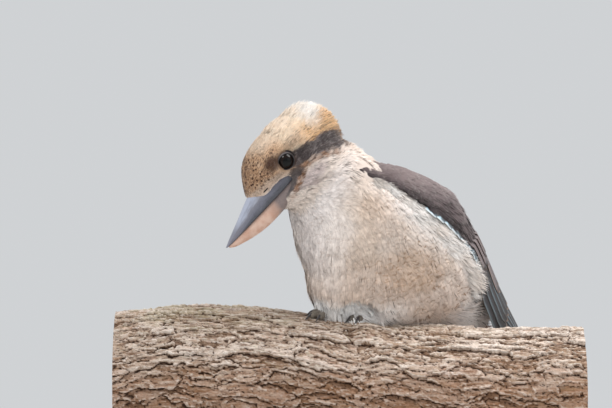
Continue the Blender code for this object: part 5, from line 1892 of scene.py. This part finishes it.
def make_eye(side, name, node_name, material, lid_material):
    """A glossy ball with a raised cornea, and the bare scaled rim of the lids round it."""
    axis = eye_axis(side)
    centre = np.array(EYE_CENTRE) * (1.0, side, 1.0)
    up = np.array((0.0, 0.0, 1.0))
    left = unit(np.cross(up, axis))
    verts, ring_place = [], []
    rings, sides = 40, 56
    for r in range(rings + 1):
        polar = math.pi * r / rings
        bulge = EYE_RADIUS * (1.0 + 0.035 * math.exp(-((polar / 0.62) ** 4)))
        for k in range(sides):
            turned = 2 * math.pi * k / sides
            ray = axis * math.cos(polar) + (left * math.cos(turned) + up * math.sin(turned)) * math.sin(polar)
            verts.append(centre + ray * bulge)
            ring_place.append(math.sin(polar) * EYE_RADIUS if polar < math.pi / 2 else EYE_RADIUS)
    eye = mesh_object(name, head_to_part(verts), tube_faces(rings, sides))
    keep_floats(eye.data, "ring", np.array(ring_place) * 1000.0)
    tidy_faces(eye)
    finish_piece(eye, material, "eye", node_name)

    verts, rim = [], []
    rows, sides = 14, 120
    for r in range(rows + 1):
        share = r / rows
        for k in range(sides):
            turned = 2 * math.pi * k / sides
            oval = 1.0 + 0.05 * math.cos(2 * turned)
            wide = (EYE_OPENING - 0.0004 + (LID_WIDTH + 0.0016) * share) * oval
            sphere = math.sqrt(max(EYE_RADIUS**2 - min(wide, EYE_RADIUS * 0.995) ** 2, 0.0))
            fold = 0.00055 * math.sin(math.pi * min(share * 1.9, 1.0))
            fold += 0.00035 * math.sin(math.pi * share * 3.0) ** 2
            bead = 0.00016 * math.sin(turned * 30.0) * math.sin(math.pi * min(share * 1.6, 1.0))
            ahead = sphere + 0.0003 + fold + bead
            flat = math.sqrt(EYE_RADIUS**2 - (EYE_OPENING + 0.0006) ** 2)
            ahead = ahead + (flat - 0.0004 - ahead) * ease(np.array(share), 0.30, 1.0)
            place = centre + axis * ahead + (left * math.cos(turned) + up * math.sin(turned)) * wide
            verts.append(place)
            rim.append(share)
    faces = tube_faces(rows, sides)
    count = len(verts)
    inner = [centre + (v - centre) * 0.93 for v in verts]
    faces += [tuple(count + i for i in reversed(f)) for f in faces]
    last = rows * sides
    for k in range(sides):
        n = (k + 1) % sides
        faces.append((k, count + k, count + n, n))
        faces.append((last + k, last + n, count + last + n, count + last + k))
    lids = mesh_object(name.replace("eye", "lids"), head_to_part(verts + inner), faces)
    keep_floats(lids.data, "rim", np.array(rim + rim))
    tidy_faces(lids)
    finish_piece(lids, lid_material, "head_down")


# Feet

def tube_rings(line, radii, sides=20, round_end=4):
    """Rings round a line, its last stretch rounded shut."""
    line = np.asarray(line, float)
    along = unit(np.gradient(line, axis=0))
    lean = np.array((0.0, 0.0, 1.0))
    rings = []
    for point, way, radius in zip(line, along, radii):
        side = unit(np.cross(way, lean))
        over = np.cross(side, way)
        angles = 2 * math.pi * np.arange(sides) / sides
        rings.append(point + radius * (side * np.cos(angles)[:, None] + over * np.sin(angles)[:, None]))
    end, way, radius = line[-1], along[-1], radii[-1]
    last = rings[-1]
    for k in range(1, round_end):
        shrink = math.cos(math.pi / 2 * k / round_end)
        rings.append(end + (last - end) * shrink + way * radius * math.sin(math.pi / 2 * k / round_end))
    return rings


def make_foot(foot, materials):
    """Toes and shank grown together, with scutes along them, and four curved claws."""
    x0, degrees = FEET[foot]
    ball = branch_point(np.array(x0), np.array(math.radians(degrees)), TOE_RADIUS[0])
    lean = unit(BIRD_TURN @ np.array((-0.35, 0.0, 1.0)))
    line = [ball - lean * 0.001 + lean * SHANK_HEIGHT * k / 8 for k in range(9)]
    parts = [loft("shank", tube_rings(line, [SHANK_RADIUS * (1.12 - 0.12 * k / 8) for k in range(9)]))]
    lines = []
    for heading, length in zip(TOE_HEADINGS, TOE_LENGTHS):
        line = np.array(toe_path(foot, heading, length, 14))
        lines.append(line)
        share = np.linspace(0.0, 1.0, 14)
        radii = TOE_RADIUS[0] + (TOE_RADIUS[1] - TOE_RADIUS[0]) * share
        radii = radii * (1.0 + 0.10 * np.cos(share * 2 * math.pi * 2.0))
        parts.append(loft("toe", tube_rings(line, radii)))
    leg = evenly_meshed(joined(parts), FOOT_SPACING, f"leg_{foot}_scaled")
    with edited(leg.data) as work:
        for _ in range(3):
            relax(work)
    points = places(leg.data)
    near = np.full(len(points), 9.0)
    gone = np.zeros(len(points))
    shank = np.array([ball + lean * SHANK_HEIGHT * k / 20 for k in range(4, 21)])
    for line in [*lines, shank]:
        steps = np.concatenate([[0.0], np.cumsum(np.linalg.norm(np.diff(line, axis=0), axis=-1))])
        away = np.linalg.norm(points[:, None, :] - line[None, :, :], axis=-1)
        order = away.argmin(1)
        best = away.min(1)
        before = np.clip(order - 1, 0, len(line) - 1)
        after = np.clip(order + 1, 0, len(line) - 1)
        way = unit(line[after] - line[before])
        exact = steps[order] + ((points - line[order]) * way).sum(-1)
        closer = best < near
        near = np.where(closer, best, near)
        gone = np.where(closer, exact, gone)
    scute = np.abs(np.sin(gone * math.pi / SCUTE_LENGTH)) ** 0.6
    outward = np.zeros(len(points) * 3, np.float32)
    leg.data.vertices.foreach_get("normal", outward)
    outward = outward.reshape(-1, 3)
    set_places(leg.data, points + outward * ((scute - 0.7) * 0.00028)[:, None])
    keep_floats(leg.data, "scute", scute)
    finish_piece(leg, materials["foot"], "foot_skin", f"leg_{foot}")

    claws = []
    for heading, length in zip(TOE_HEADINGS, TOE_LENGTHS):
        line, radii = [], []
        for k in range(15):
            share = k / 14
            rise = 0.0012 * math.sin(math.pi * min(share / 0.75, 1.0))
            rise += TOE_RADIUS[1] * (1.0 - share**1.6)
            gone = length - 0.0016 + (CLAW_LENGTH + 0.0004) * share
            line.append(toe_place(foot, heading, gone, rise))
            radii.append(CLAW_RADIUS + (CLAW_TIP - CLAW_RADIUS) * share**1.15)
        claws.append(loft("claw", tube_rings(line, radii, 16, 3)))
    claws = joined(claws)
    claws.name = f"claws_{foot}"
    finish_piece(claws, materials["claw"], "claw", *[f"claw_{foot}_{k}" for k in (1, 2, 3, 4)])


# Branch

def bark_relief(x, angle):
    """Height of the bark's plates over the plain branch, and a number for each small plate."""
    ring = np.stack([x, BRANCH_RADIUS * np.cos(angle), BRANCH_RADIUS * np.sin(angle)], -1)
    towards_ground = np.stack([x * 0.0, -np.sin(angle), np.cos(angle)], -1) * np.sign(angle)[..., None]
    bent = ring
    for size, along, across, seed in BARK_BENDS:
        warp = np.stack([soft_noise(ring, size, seed + k) - 0.5 for k in range(3)], -1)
        bent = bent + warp * (along, across, across)
    height, marks = 0.0, 0.0
    for length, width, seed, step, lean, crack_width, depth in BARK_PLATES:
        gap, mark, offset = cell_gaps(bent / (length, width, width) + seed * 0.37, seed)
        slope = (offset * towards_ground).sum(-1)
        broken = ease(soft_noise(ring, width * 0.8, seed + 9), 0.25, 0.55)
        crack = ease(-gap, -crack_width, -0.2 * crack_width) * (0.25 + 0.75 * broken)
        height = height + (mark - 0.5) * step + np.clip(slope, -0.6, 0.6) * lean - depth * crack
        marks = marks + mark * 0.45
    flake = (soft_noise(bent / (3.0, 1.0, 1.0), 0.0022, 71) - 0.5) * 0.0010
    return height + flake + (soft_noise(ring, 0.0012, 72) - 0.5) * 0.0006, marks


def softened(grid, reach):
    """The grid's heights spread over their neighbours."""
    for _ in range(reach):
        grid = (np.roll(grid, 1, 1) + 2.0 * grid + np.roll(grid, -1, 1)) / 4.0
        padded = np.concatenate([grid[:1], grid, grid[-1:]])
        grid = (padded[:-2] + 2.0 * grid + padded[2:]) / 4.0
    return grid


def make_branch(materials):
    x = np.linspace(BRANCH_ENDS[0], BRANCH_ENDS[1], BARK_STATIONS)
    # most of the sides lie on the front, where the bark is seen from near
    turns = np.interp(np.arange(BARK_SIDES) / BARK_SIDES, (0.0, 0.6, 1.0), (-20.0, 115.0, 340.0))
    xx, aa = np.meshgrid(x, np.radians((turns + 180.0) % 360.0 - 180.0), indexing="ij")
    height, mark = bark_relief(xx.ravel(), aa.ravel())
    height = height.reshape(xx.shape)
    # how far each place lies below its neighbours, near and far; the bark's colour paints shade in these
    # hollows and a highlight on raised edges
    fine_hollow_shade = np.clip((softened(height, 5) - height) / 0.0008, -1.0, 1.0)
    broad_hollow_shade = np.clip((softened(height, 60) - height) / 0.0016, -1.0, 1.0)
    foot_near = np.ones_like(xx)
    for x0, degrees in FEET.values():
        turned = (aa - math.radians(degrees) + math.pi) % (2 * math.pi) - math.pi
        away = np.hypot((xx - x0 + 0.008) / 0.026, (turned * BRANCH_RADIUS - 0.006) / 0.022)
        foot_near = np.minimum(foot_near, 0.25 + 0.75 * ease(away, 0.6, 1.3))
    height = np.where(height > 0, height * foot_near, height * (0.4 + 0.6 * foot_near))
    points = branch_point(xx, aa, height - 0.0004)
    verts = points.reshape(-1, 3).tolist()
    sides = BARK_SIDES
    faces = tube_faces(BARK_STATIONS - 1, sides)
    cut_faces = []
    depth = [1.0] * len(verts)
    for first, end in ((0, 0), ((BARK_STATIONS - 1) * sides, -1)):
        rim = points[end]
        middle = rim.mean(0)
        previous = first
        for k in range(1, 15):
            share = 1.0 - k / 14
            if k == 14:
                verts.append(middle.tolist())
                depth.append(0.0)
                for s in range(sides):
                    cut_faces.append((previous + s, previous + (s + 1) % sides, len(verts) - 1))
                break
            start = len(verts)
            ring = middle + (rim - middle) * share
            ring[:, 0] = rim[:, 0].mean() + (0.0006 if end == 0 else -0.0006) * (k < 2)
            verts += ring.tolist()
            depth += [share] * sides
            for s in range(sides):
                n = (s + 1) % sides
                cut_faces.append((previous + s, previous + n, start + n, start + s))
            previous = start
    obj = mesh_object("branch", verts, faces + cut_faces)
    mesh = obj.data
    bark = np.zeros((len(verts), 3))
    bark[:mark.size] = np.stack([mark, fine_hollow_shade.ravel(), broad_hollow_shade.ravel()], -1)
    keep_vectors(mesh, "bark", bark)
    keep_floats(mesh, "inward", depth)
    tidy_faces(obj, 1e-9)
    mesh.materials.append(materials["bark"])
    mesh.materials.append(materials["sawn"])
    slots = np.zeros(len(mesh.polygons), np.int32)
    slots[len(faces):] = 1
    mesh.polygons.foreach_set("material_index", slots)
    finish_piece(obj, None, "bark", "perch")
    mesh.set_sharp_from_angle(angle=math.radians(60))


# Materials

def make_materials():
    group = make_feather_group()
    barbs = make_barb_group()
    made = {
        "body": small_feather_material("breast_feather", group, shade(146, 112, 84), 0.22, 0.62),
        "head": small_feather_material("head_feather", group, SPECKLE, 0.28, 0.64),
        "covert": small_feather_material("covert_feather", group, shade(66, 56, 58), 0.16, 0.66),
        "vane": long_vane_material("flight_feather", barbs),
    }
    made["skin"], tree, shader = new_material("down_skin", 0.9)
    place = object_place(tree)
    fluff = noise(place, 420.0, 4.0, 0.6)
    tint = attribute(tree, "tint", "Color")
    deep = mix(1.0, tint, (0.62, 0.58, 0.55), "MULTIPLY")
    give(shader.inputs["Base Color"], mix(fluff, deep, tint))
    add_bump(shader, fluff, 0.6, 0.0008)

    made["bill_dark"], tree, shader = new_material("bill_dark_horn", 0.35)
    forward, height, _ = split_attribute(tree, "spot")
    inputs = {"Vector": attribute(tree, "spot", "Vector"), "Scale": (0.8, 7.0, 3.0)}
    streak = noise(node(tree, "ShaderNodeMapping", inputs).outputs[0], 1.0, 4.0, 0.6)
    grain = noise(object_place(tree), 700.0, 3.0, 0.6)
    rise = plus(height, wander(streak, 0.5))
    colour = mix(ramp(rise, 0.08, 0.50), shade(46, 45, 52), shade(96, 96, 108))
    # the pale blue-grey ridge along the top is a painted sheen
    colour = mix(ramp(rise, 0.68, 1.0), colour, shade(170, 176, 194))
    colour = mix(ramp(forward, 6.0, 7.6, 0.0, 0.75), colour, shade(100, 96, 106))
    colour = mix(ramp(height, 0.02, 0.12, 0.8, 0.0), colour, shade(36, 34, 40))
    dress(shader, mix(times(grain, 0.2), colour, shade(160, 162, 172)), grain,
          (0.30, 0.50), (0.22, 0.0003))

    made["bill_pale"], tree, shader = new_material("bill_pale_horn", 0.4)
    forward, height, _ = split_attribute(tree, "spot")
    cloud = noise(attribute(tree, "spot", "Vector"), 1.3, 3.0, 0.5)
    grain = noise(object_place(tree), 600.0, 3.0, 0.6)
    colour = mix(ramp(cloud, 0.35, 0.7), shade(214, 180, 162), shade(192, 146, 124))
    # darker along the top edge of the lower bill, as painted shadow under the upper bill
    colour = mix(ramp(height, 0.30, 0.0, 0.0, 0.5), colour, shade(120, 92, 84))
    base = plus(forward, times(cloud, 0.8))
    colour = mix(ramp(base, 3.8, 4.9, 0.75, 0.0), colour, shade(160, 132, 120))
    colour = mix(ramp(base, 3.3, 4.1, 0.9, 0.0), colour, shade(94, 86, 90))
    dress(shader, mix(times(grain, 0.2), colour, shade(236, 208, 190)), grain,
          (0.34, 0.55), (0.2, 0.0003))

    made["nostril"], tree, shader = new_material("nostril_painted_shade", 0.6)
    grain = noise(object_place(tree), 900.0, 2.0, 0.6)
    # the nostril is painted near black, as painted shade inside the opening
    dress(shader, mix(grain, shade(8, 7, 8), shade(26, 22, 24)), grain, (0.5, 0.8), (0.2, 0.0002))

    made["eye"], tree, shader = new_material("eye_glass", 0.05)
    ring = attribute(tree, "ring")
    streaks = noise(object_place(tree), 900.0, 3.0, 0.6)
    iris = mix(streaks, shade(16, 9, 6), shade(30, 18, 12))
    colour = mix(ramp(ring, 3.5, 4.0), (0.002, 0.002, 0.002), iris)
    colour = mix(ramp(ring, 5.2, 6.2), colour, (0.004, 0.003, 0.003))
    give(shader.inputs["Base Color"], colour)
    give(shader.inputs["Roughness"], ramp(streaks, 0.2, 0.8, 0.03, 0.07))
    shader.inputs["IOR"].default_value = 1.28

    made["lid"], tree, shader = new_material("lid_skin", 0.55)
    rim = attribute(tree, "rim")
    grain = noise(object_place(tree), 1500.0, 3.0, 0.6)
    colour = mix(ramp(rim, 0.16, 0.34), shade(22, 19, 21), shade(104, 98, 100))
    colour = mix(ramp(rim, 0.40, 0.56), colour, shade(46, 38, 37))
    dress(shader, mix(times(grain, 0.4), colour, shade(70, 64, 64)), grain,
          (0.40, 0.70), (0.4, 0.0003))

    made["foot"], tree, shader = new_material("foot_scales", 0.6)
    scute = attribute(tree, "scute")
    grain = noise(object_place(tree), 800.0, 3.0, 0.6)
    broad = noise(object_place(tree), 120.0, 2.0, 0.5)
    colour = mix(ramp(scute, 0.15, 0.7), shade(46, 40, 38), shade(112, 104, 96))
    colour = mix(times(broad, 0.5), colour, shade(140, 130, 112))
    dress(shader, mix(times(grain, 0.35), colour, shade(64, 56, 52)),
          times(plus(scute, grain), 0.5), (0.45, 0.75), (0.9, 0.0003))

    made["claw"], tree, shader = new_material("claw_horn", 0.35)
    grain = noise(object_place(tree), 500.0, 3.0, 0.6)
    dress(shader, mix(grain, shade(26, 24, 26), shade(70, 64, 64)), grain, (0.28, 0.50), (0.2, 0.0003))

    made["bark"] = bark_material()
    made["sawn"] = sawn_material()
    made["wood"] = stand_wood_material()
    made["metal"] = rod_material()
    return made


def bark_material():
    made, tree, shader = new_material("bark_plates", 0.9)
    plate, hollow, broad_hollow_shade = split_attribute(tree, "bark")
    where = node(tree, "ShaderNodeTexCoord").outputs["Object"]
    high = node(tree, "ShaderNodeSeparateXYZ", {"Vector": where}).outputs["Z"]
    broad = noise(object_place(tree, (0.5, 1.0, 1.0)), 48.0, 4.0, 0.6, 0.4)
    streaks = noise(object_place(tree, (0.12, 1.0, 1.0)), 520.0, 5.0, 0.7, 0.2)
    middle = noise(object_place(tree, (0.35, 1.0, 1.0)), 190.0, 5.0, 0.65, 0.3)
    fine = noise(object_place(tree, (0.5, 1.0, 1.0)), 1100.0, 4.0, 0.7)
    colour = mix(ramp(broad, 0.32, 0.66), shade(172, 150, 132), shade(212, 194, 180))
    colour = mix(ramp(plate, 0.76, 1.05, 0.0, 0.75), colour, shade(232, 218, 208))
    colour = mix(ramp(plate, 0.62, 0.36, 0.0, 0.75), colour, shade(148, 118, 94))
    inputs = {"W": maths("ROUND", times(plate, 900.0))}
    tint = node(tree, "ShaderNodeTexWhiteNoise", inputs, noise_dimensions="1D").outputs["Value"]
    for value, low, high_end, share, other in (
        (tint, 0.60, 0.95, 0.5, shade(206, 166, 144)),
        (tint, 0.35, 0.05, 0.4, shade(164, 156, 124)),
        (middle, 0.50, 0.66, 0.7, shade(122, 94, 74)),
        (streaks, 0.51, 0.62, 0.75, shade(98, 74, 58)),
        (streaks, 0.47, 0.34, 0.6, shade(244, 234, 224)),
    ):
        colour = mix(ramp(value, low, high_end, 0.0, share), colour, other)
    low = ramp(plus(high, times(broad, 0.05)), 0.178, 0.128)
    colour = mix(times(low, 0.65), colour, shade(150, 106, 74))
    moss = ramp(plus(high, times(middle, 0.05)), 0.184, 0.205)
    moss = times(moss, ramp(broad, 0.40, 0.62, 0.0, 0.45))
    colour = mix(moss, colour, shade(150, 144, 108))
    # painted shade in the broad hollows; pale raised edges as painted highlight; dark fine hollows, partly
    # the cracks' own dark wood and partly painted shade
    colour = mix(ramp(broad_hollow_shade, -0.1, 0.8, 0.0, 0.65), colour, shade(98, 70, 52))
    colour = mix(ramp(hollow, -0.35, -0.95, 0.0, 0.35), colour, shade(240, 230, 220))
    colour = mix(ramp(hollow, 0.30, 0.95, 0.0, 0.92), colour, shade(54, 36, 28))
    bumps = plus(times(middle, 0.6), times(streaks, 0.6))
    bumps = plus(bumps, times(fine, 0.4))
    shader.inputs["Specular IOR Level"].default_value = SOFT_SHINE
    dress(shader, toned(colour, ramp(fine, 0.25, 0.75, 0.72, 1.16)), bumps, (0.80, 0.98), (0.9, 0.0012))
    return made


def sawn_material():
    made, tree, shader = new_material("sawn_wood", 0.8)
    inward = attribute(tree, "inward")
    wobble = noise(object_place(tree), 40.0, 3.0, 0.5)
    fine = noise(object_place(tree, (1.0, 1.0, 0.2)), 500.0, 3.0, 0.6)
    place = plus(inward, times(wobble, 0.05))
    rings = maths("SINE", times(place, 120.0))
    rings = maths("MULTIPLY_ADD", rings, 0.5, 0.5)
    colour = mix(rings, shade(206, 170, 128), shade(178, 136, 96))
    colour = mix(ramp(place, 0.55, 0.25, 0.0, 0.45), colour, shade(140, 96, 66))
    colour = mix(ramp(place, 0.90, 0.93), colour, shade(84, 58, 44))
    colour = mix(times(fine, 0.4), colour, shade(226, 196, 158))
    grain = times(plus(fine, rings), 0.5)
    dress(shader, colour, grain, (0.65, 0.90), (0.6, 0.0004))
    return made


def stand_wood_material():
    made, tree, shader = new_material("stand_dark_wood", 0.4)
    grain_place = object_place(tree, (0.06, 1.0, 1.0))
    grain = noise(grain_place, 190.0, 5.0, 0.6, 0.6)
    broad = noise(grain_place, 36.0, 3.0, 0.5, 1.2)
    pores = noise(object_place(tree, (0.10, 1.0, 1.0)), 900.0, 2.0, 0.6)
    colour = mix(ramp(broad, 0.35, 0.65), shade(58, 38, 27), shade(92, 62, 42))
    colour = mix(times(ramp(grain, 0.48, 0.70), 0.7), colour, shade(38, 24, 18))
    colour = mix(ramp(pores, 0.62, 0.72, 0.0, 0.5), colour, shade(26, 17, 13))
    give(shader.inputs["Base Color"], colour)
    give(shader.inputs["Roughness"], ramp(grain, 0.2, 0.8, 0.30, 0.48))
    shader.inputs["Coat Weight"].default_value = 0.25
    shader.inputs["Coat Roughness"].default_value = 0.25
    add_bump(shader, plus(grain, pores), 0.12, 0.0004)
    return made


def rod_material():
    made, tree, shader = new_material("rod_brushed_metal", 0.35, 1.0)
    brushed = noise(object_place(tree, (1.0, 1.0, 0.04)), 1800.0, 3.0, 0.6)
    stain = noise(object_place(tree), 60.0, 3.0, 0.5)
    colour = mix(brushed, shade(150, 142, 132), shade(190, 184, 174))
    colour = mix(ramp(stain, 0.5, 0.8, 0.0, 0.4), colour, shade(120, 104, 88))
    dress(shader, colour, brushed, (0.26, 0.46), (0.12, 0.0002))
    return made


# Camera, light and floor

def make_camera():
    rise = math.radians(CAMERA_UP)
    way = Vector((0.0, math.cos(rise), math.sin(rise)))
    data = bpy.data.cameras.new("camera")
    data.sensor_width = SENSOR_WIDTH
    data.lens = SENSOR_WIDTH * (CAMERA_AWAY / PIXEL) / PHOTO_WIDTH
    data.clip_start = 0.1
    data.clip_end = 50.0
    camera = bpy.data.objects.new("camera", data)
    bpy.context.scene.collection.objects.link(camera)
    camera.location = CAMERA_AIM - way * CAMERA_AWAY
    camera.rotation_euler = (math.pi / 2 + rise, 0.0, 0.0)
    bpy.context.scene.camera = camera


def area_light(name, place, aim, size, power, colour):
    data = bpy.data.lights.new(name, "AREA")
    data.shape = "RECTANGLE"
    data.size, data.size_y = size
    data.energy = power
    data.color = colour
    light = bpy.data.objects.new(name, data)
    bpy.context.scene.collection.objects.link(light)
    light.location = place
    light.rotation_euler = (Vector(aim) - Vector(place)).to_track_quat("-Z", "Y").to_euler()


FLOOR_RADIUS = 24.0
FLOOR_SIDES = 128
ROOM_COLOUR = (0.95, 0.975, 1.0, 1.0)
ROOM_STRENGTH = 0.66
MODEL_MIDDLE = (0.0, 0.0, 0.25)
HEAD_MIDDLE = (-0.054, -0.05, 0.313)
# place, aim, size, power and colour of each soft light
LIGHTS = {
    "key_light": ((-1.0, -1.3, 2.1), MODEL_MIDDLE, (0.8, 0.8), 25.0, (1.0, 0.985, 0.96)),
    "fill_light": ((1.8, -1.6, 0.9), MODEL_MIDDLE, (1.6, 1.6), 4.0, (0.95, 0.98, 1.0)),
    "back_light": ((0.4, 1.0, 2.1), MODEL_MIDDLE, (1.3, 1.3), 10.0, (1.0, 1.0, 1.0)),
    "sky_light": ((0.79, -0.10, 1.54), HEAD_MIDDLE, (0.85, 0.85), 19.0, (1.0, 1.0, 1.0)),
}


def make_stage():
    """A wide pale floor, an even pale room and four soft lights."""
    turns = [2 * math.pi * k / FLOOR_SIDES for k in range(FLOOR_SIDES)]
    rim = [(FLOOR_RADIUS * math.cos(turn), FLOOR_RADIUS * math.sin(turn), 0.0) for turn in turns]
    floor = mesh_object("floor", rim, [tuple(range(FLOOR_SIDES))])
    made, tree, shader = new_material("pale_floor", 0.85)
    spread = noise(object_place(tree), 6.0, 3.0, 0.5)
    give(shader.inputs["Base Color"], mix(spread, shade(214, 215, 214), shade(222, 223, 222)))
    floor.data.materials.append(made)
    world = bpy.data.worlds.new("soft_room")
    world.use_nodes = True
    room = world.node_tree.nodes["Background"].inputs
    room["Color"].default_value = ROOM_COLOUR
    room["Strength"].default_value = ROOM_STRENGTH
    bpy.context.scene.world = world
    for name, values in LIGHTS.items():
        area_light(name, *values)
    bpy.context.scene.view_settings.view_transform = "Standard"


def main():
    make_camera()
    make_stage()
    materials = make_materials()
    tree = feather_tree()
    kinds = {kind: feather_collection(kind) for kind in FEATHER_KINDS}
    make_body(tree, kinds, materials)
    make_wing("wing_left_feathers", 1.0, tree, kinds, materials)
    make_wing("wing_right_feathers", -1.0, tree, kinds, materials)
    make_tail(materials)
    make_bill_half("bill_upper_horn", True, materials["bill_dark"], "bill_dark", "bill_upper")
    make_bill_half("bill_lower_horn", False, materials["bill_pale"], "bill_pale", "bill_lower")
    make_nostrils(materials["nostril"])
    make_eye(1.0, "eye_left_glass", "eye_left", materials["eye"], materials["lid"])
    make_eye(-1.0, "eye_right_glass", "eye_right", materials["eye"], materials["lid"])
    for foot in FEET:
        make_foot(foot, materials)
    make_branch(materials)
    for name, key in (("stand_base", "wood"), ("stand_rod_left", "metal"), ("stand_rod_right", "metal")):
        held = frame["nodes"][name]
        for slot in held.material_slots:
            slot.material = materials[key]


main()
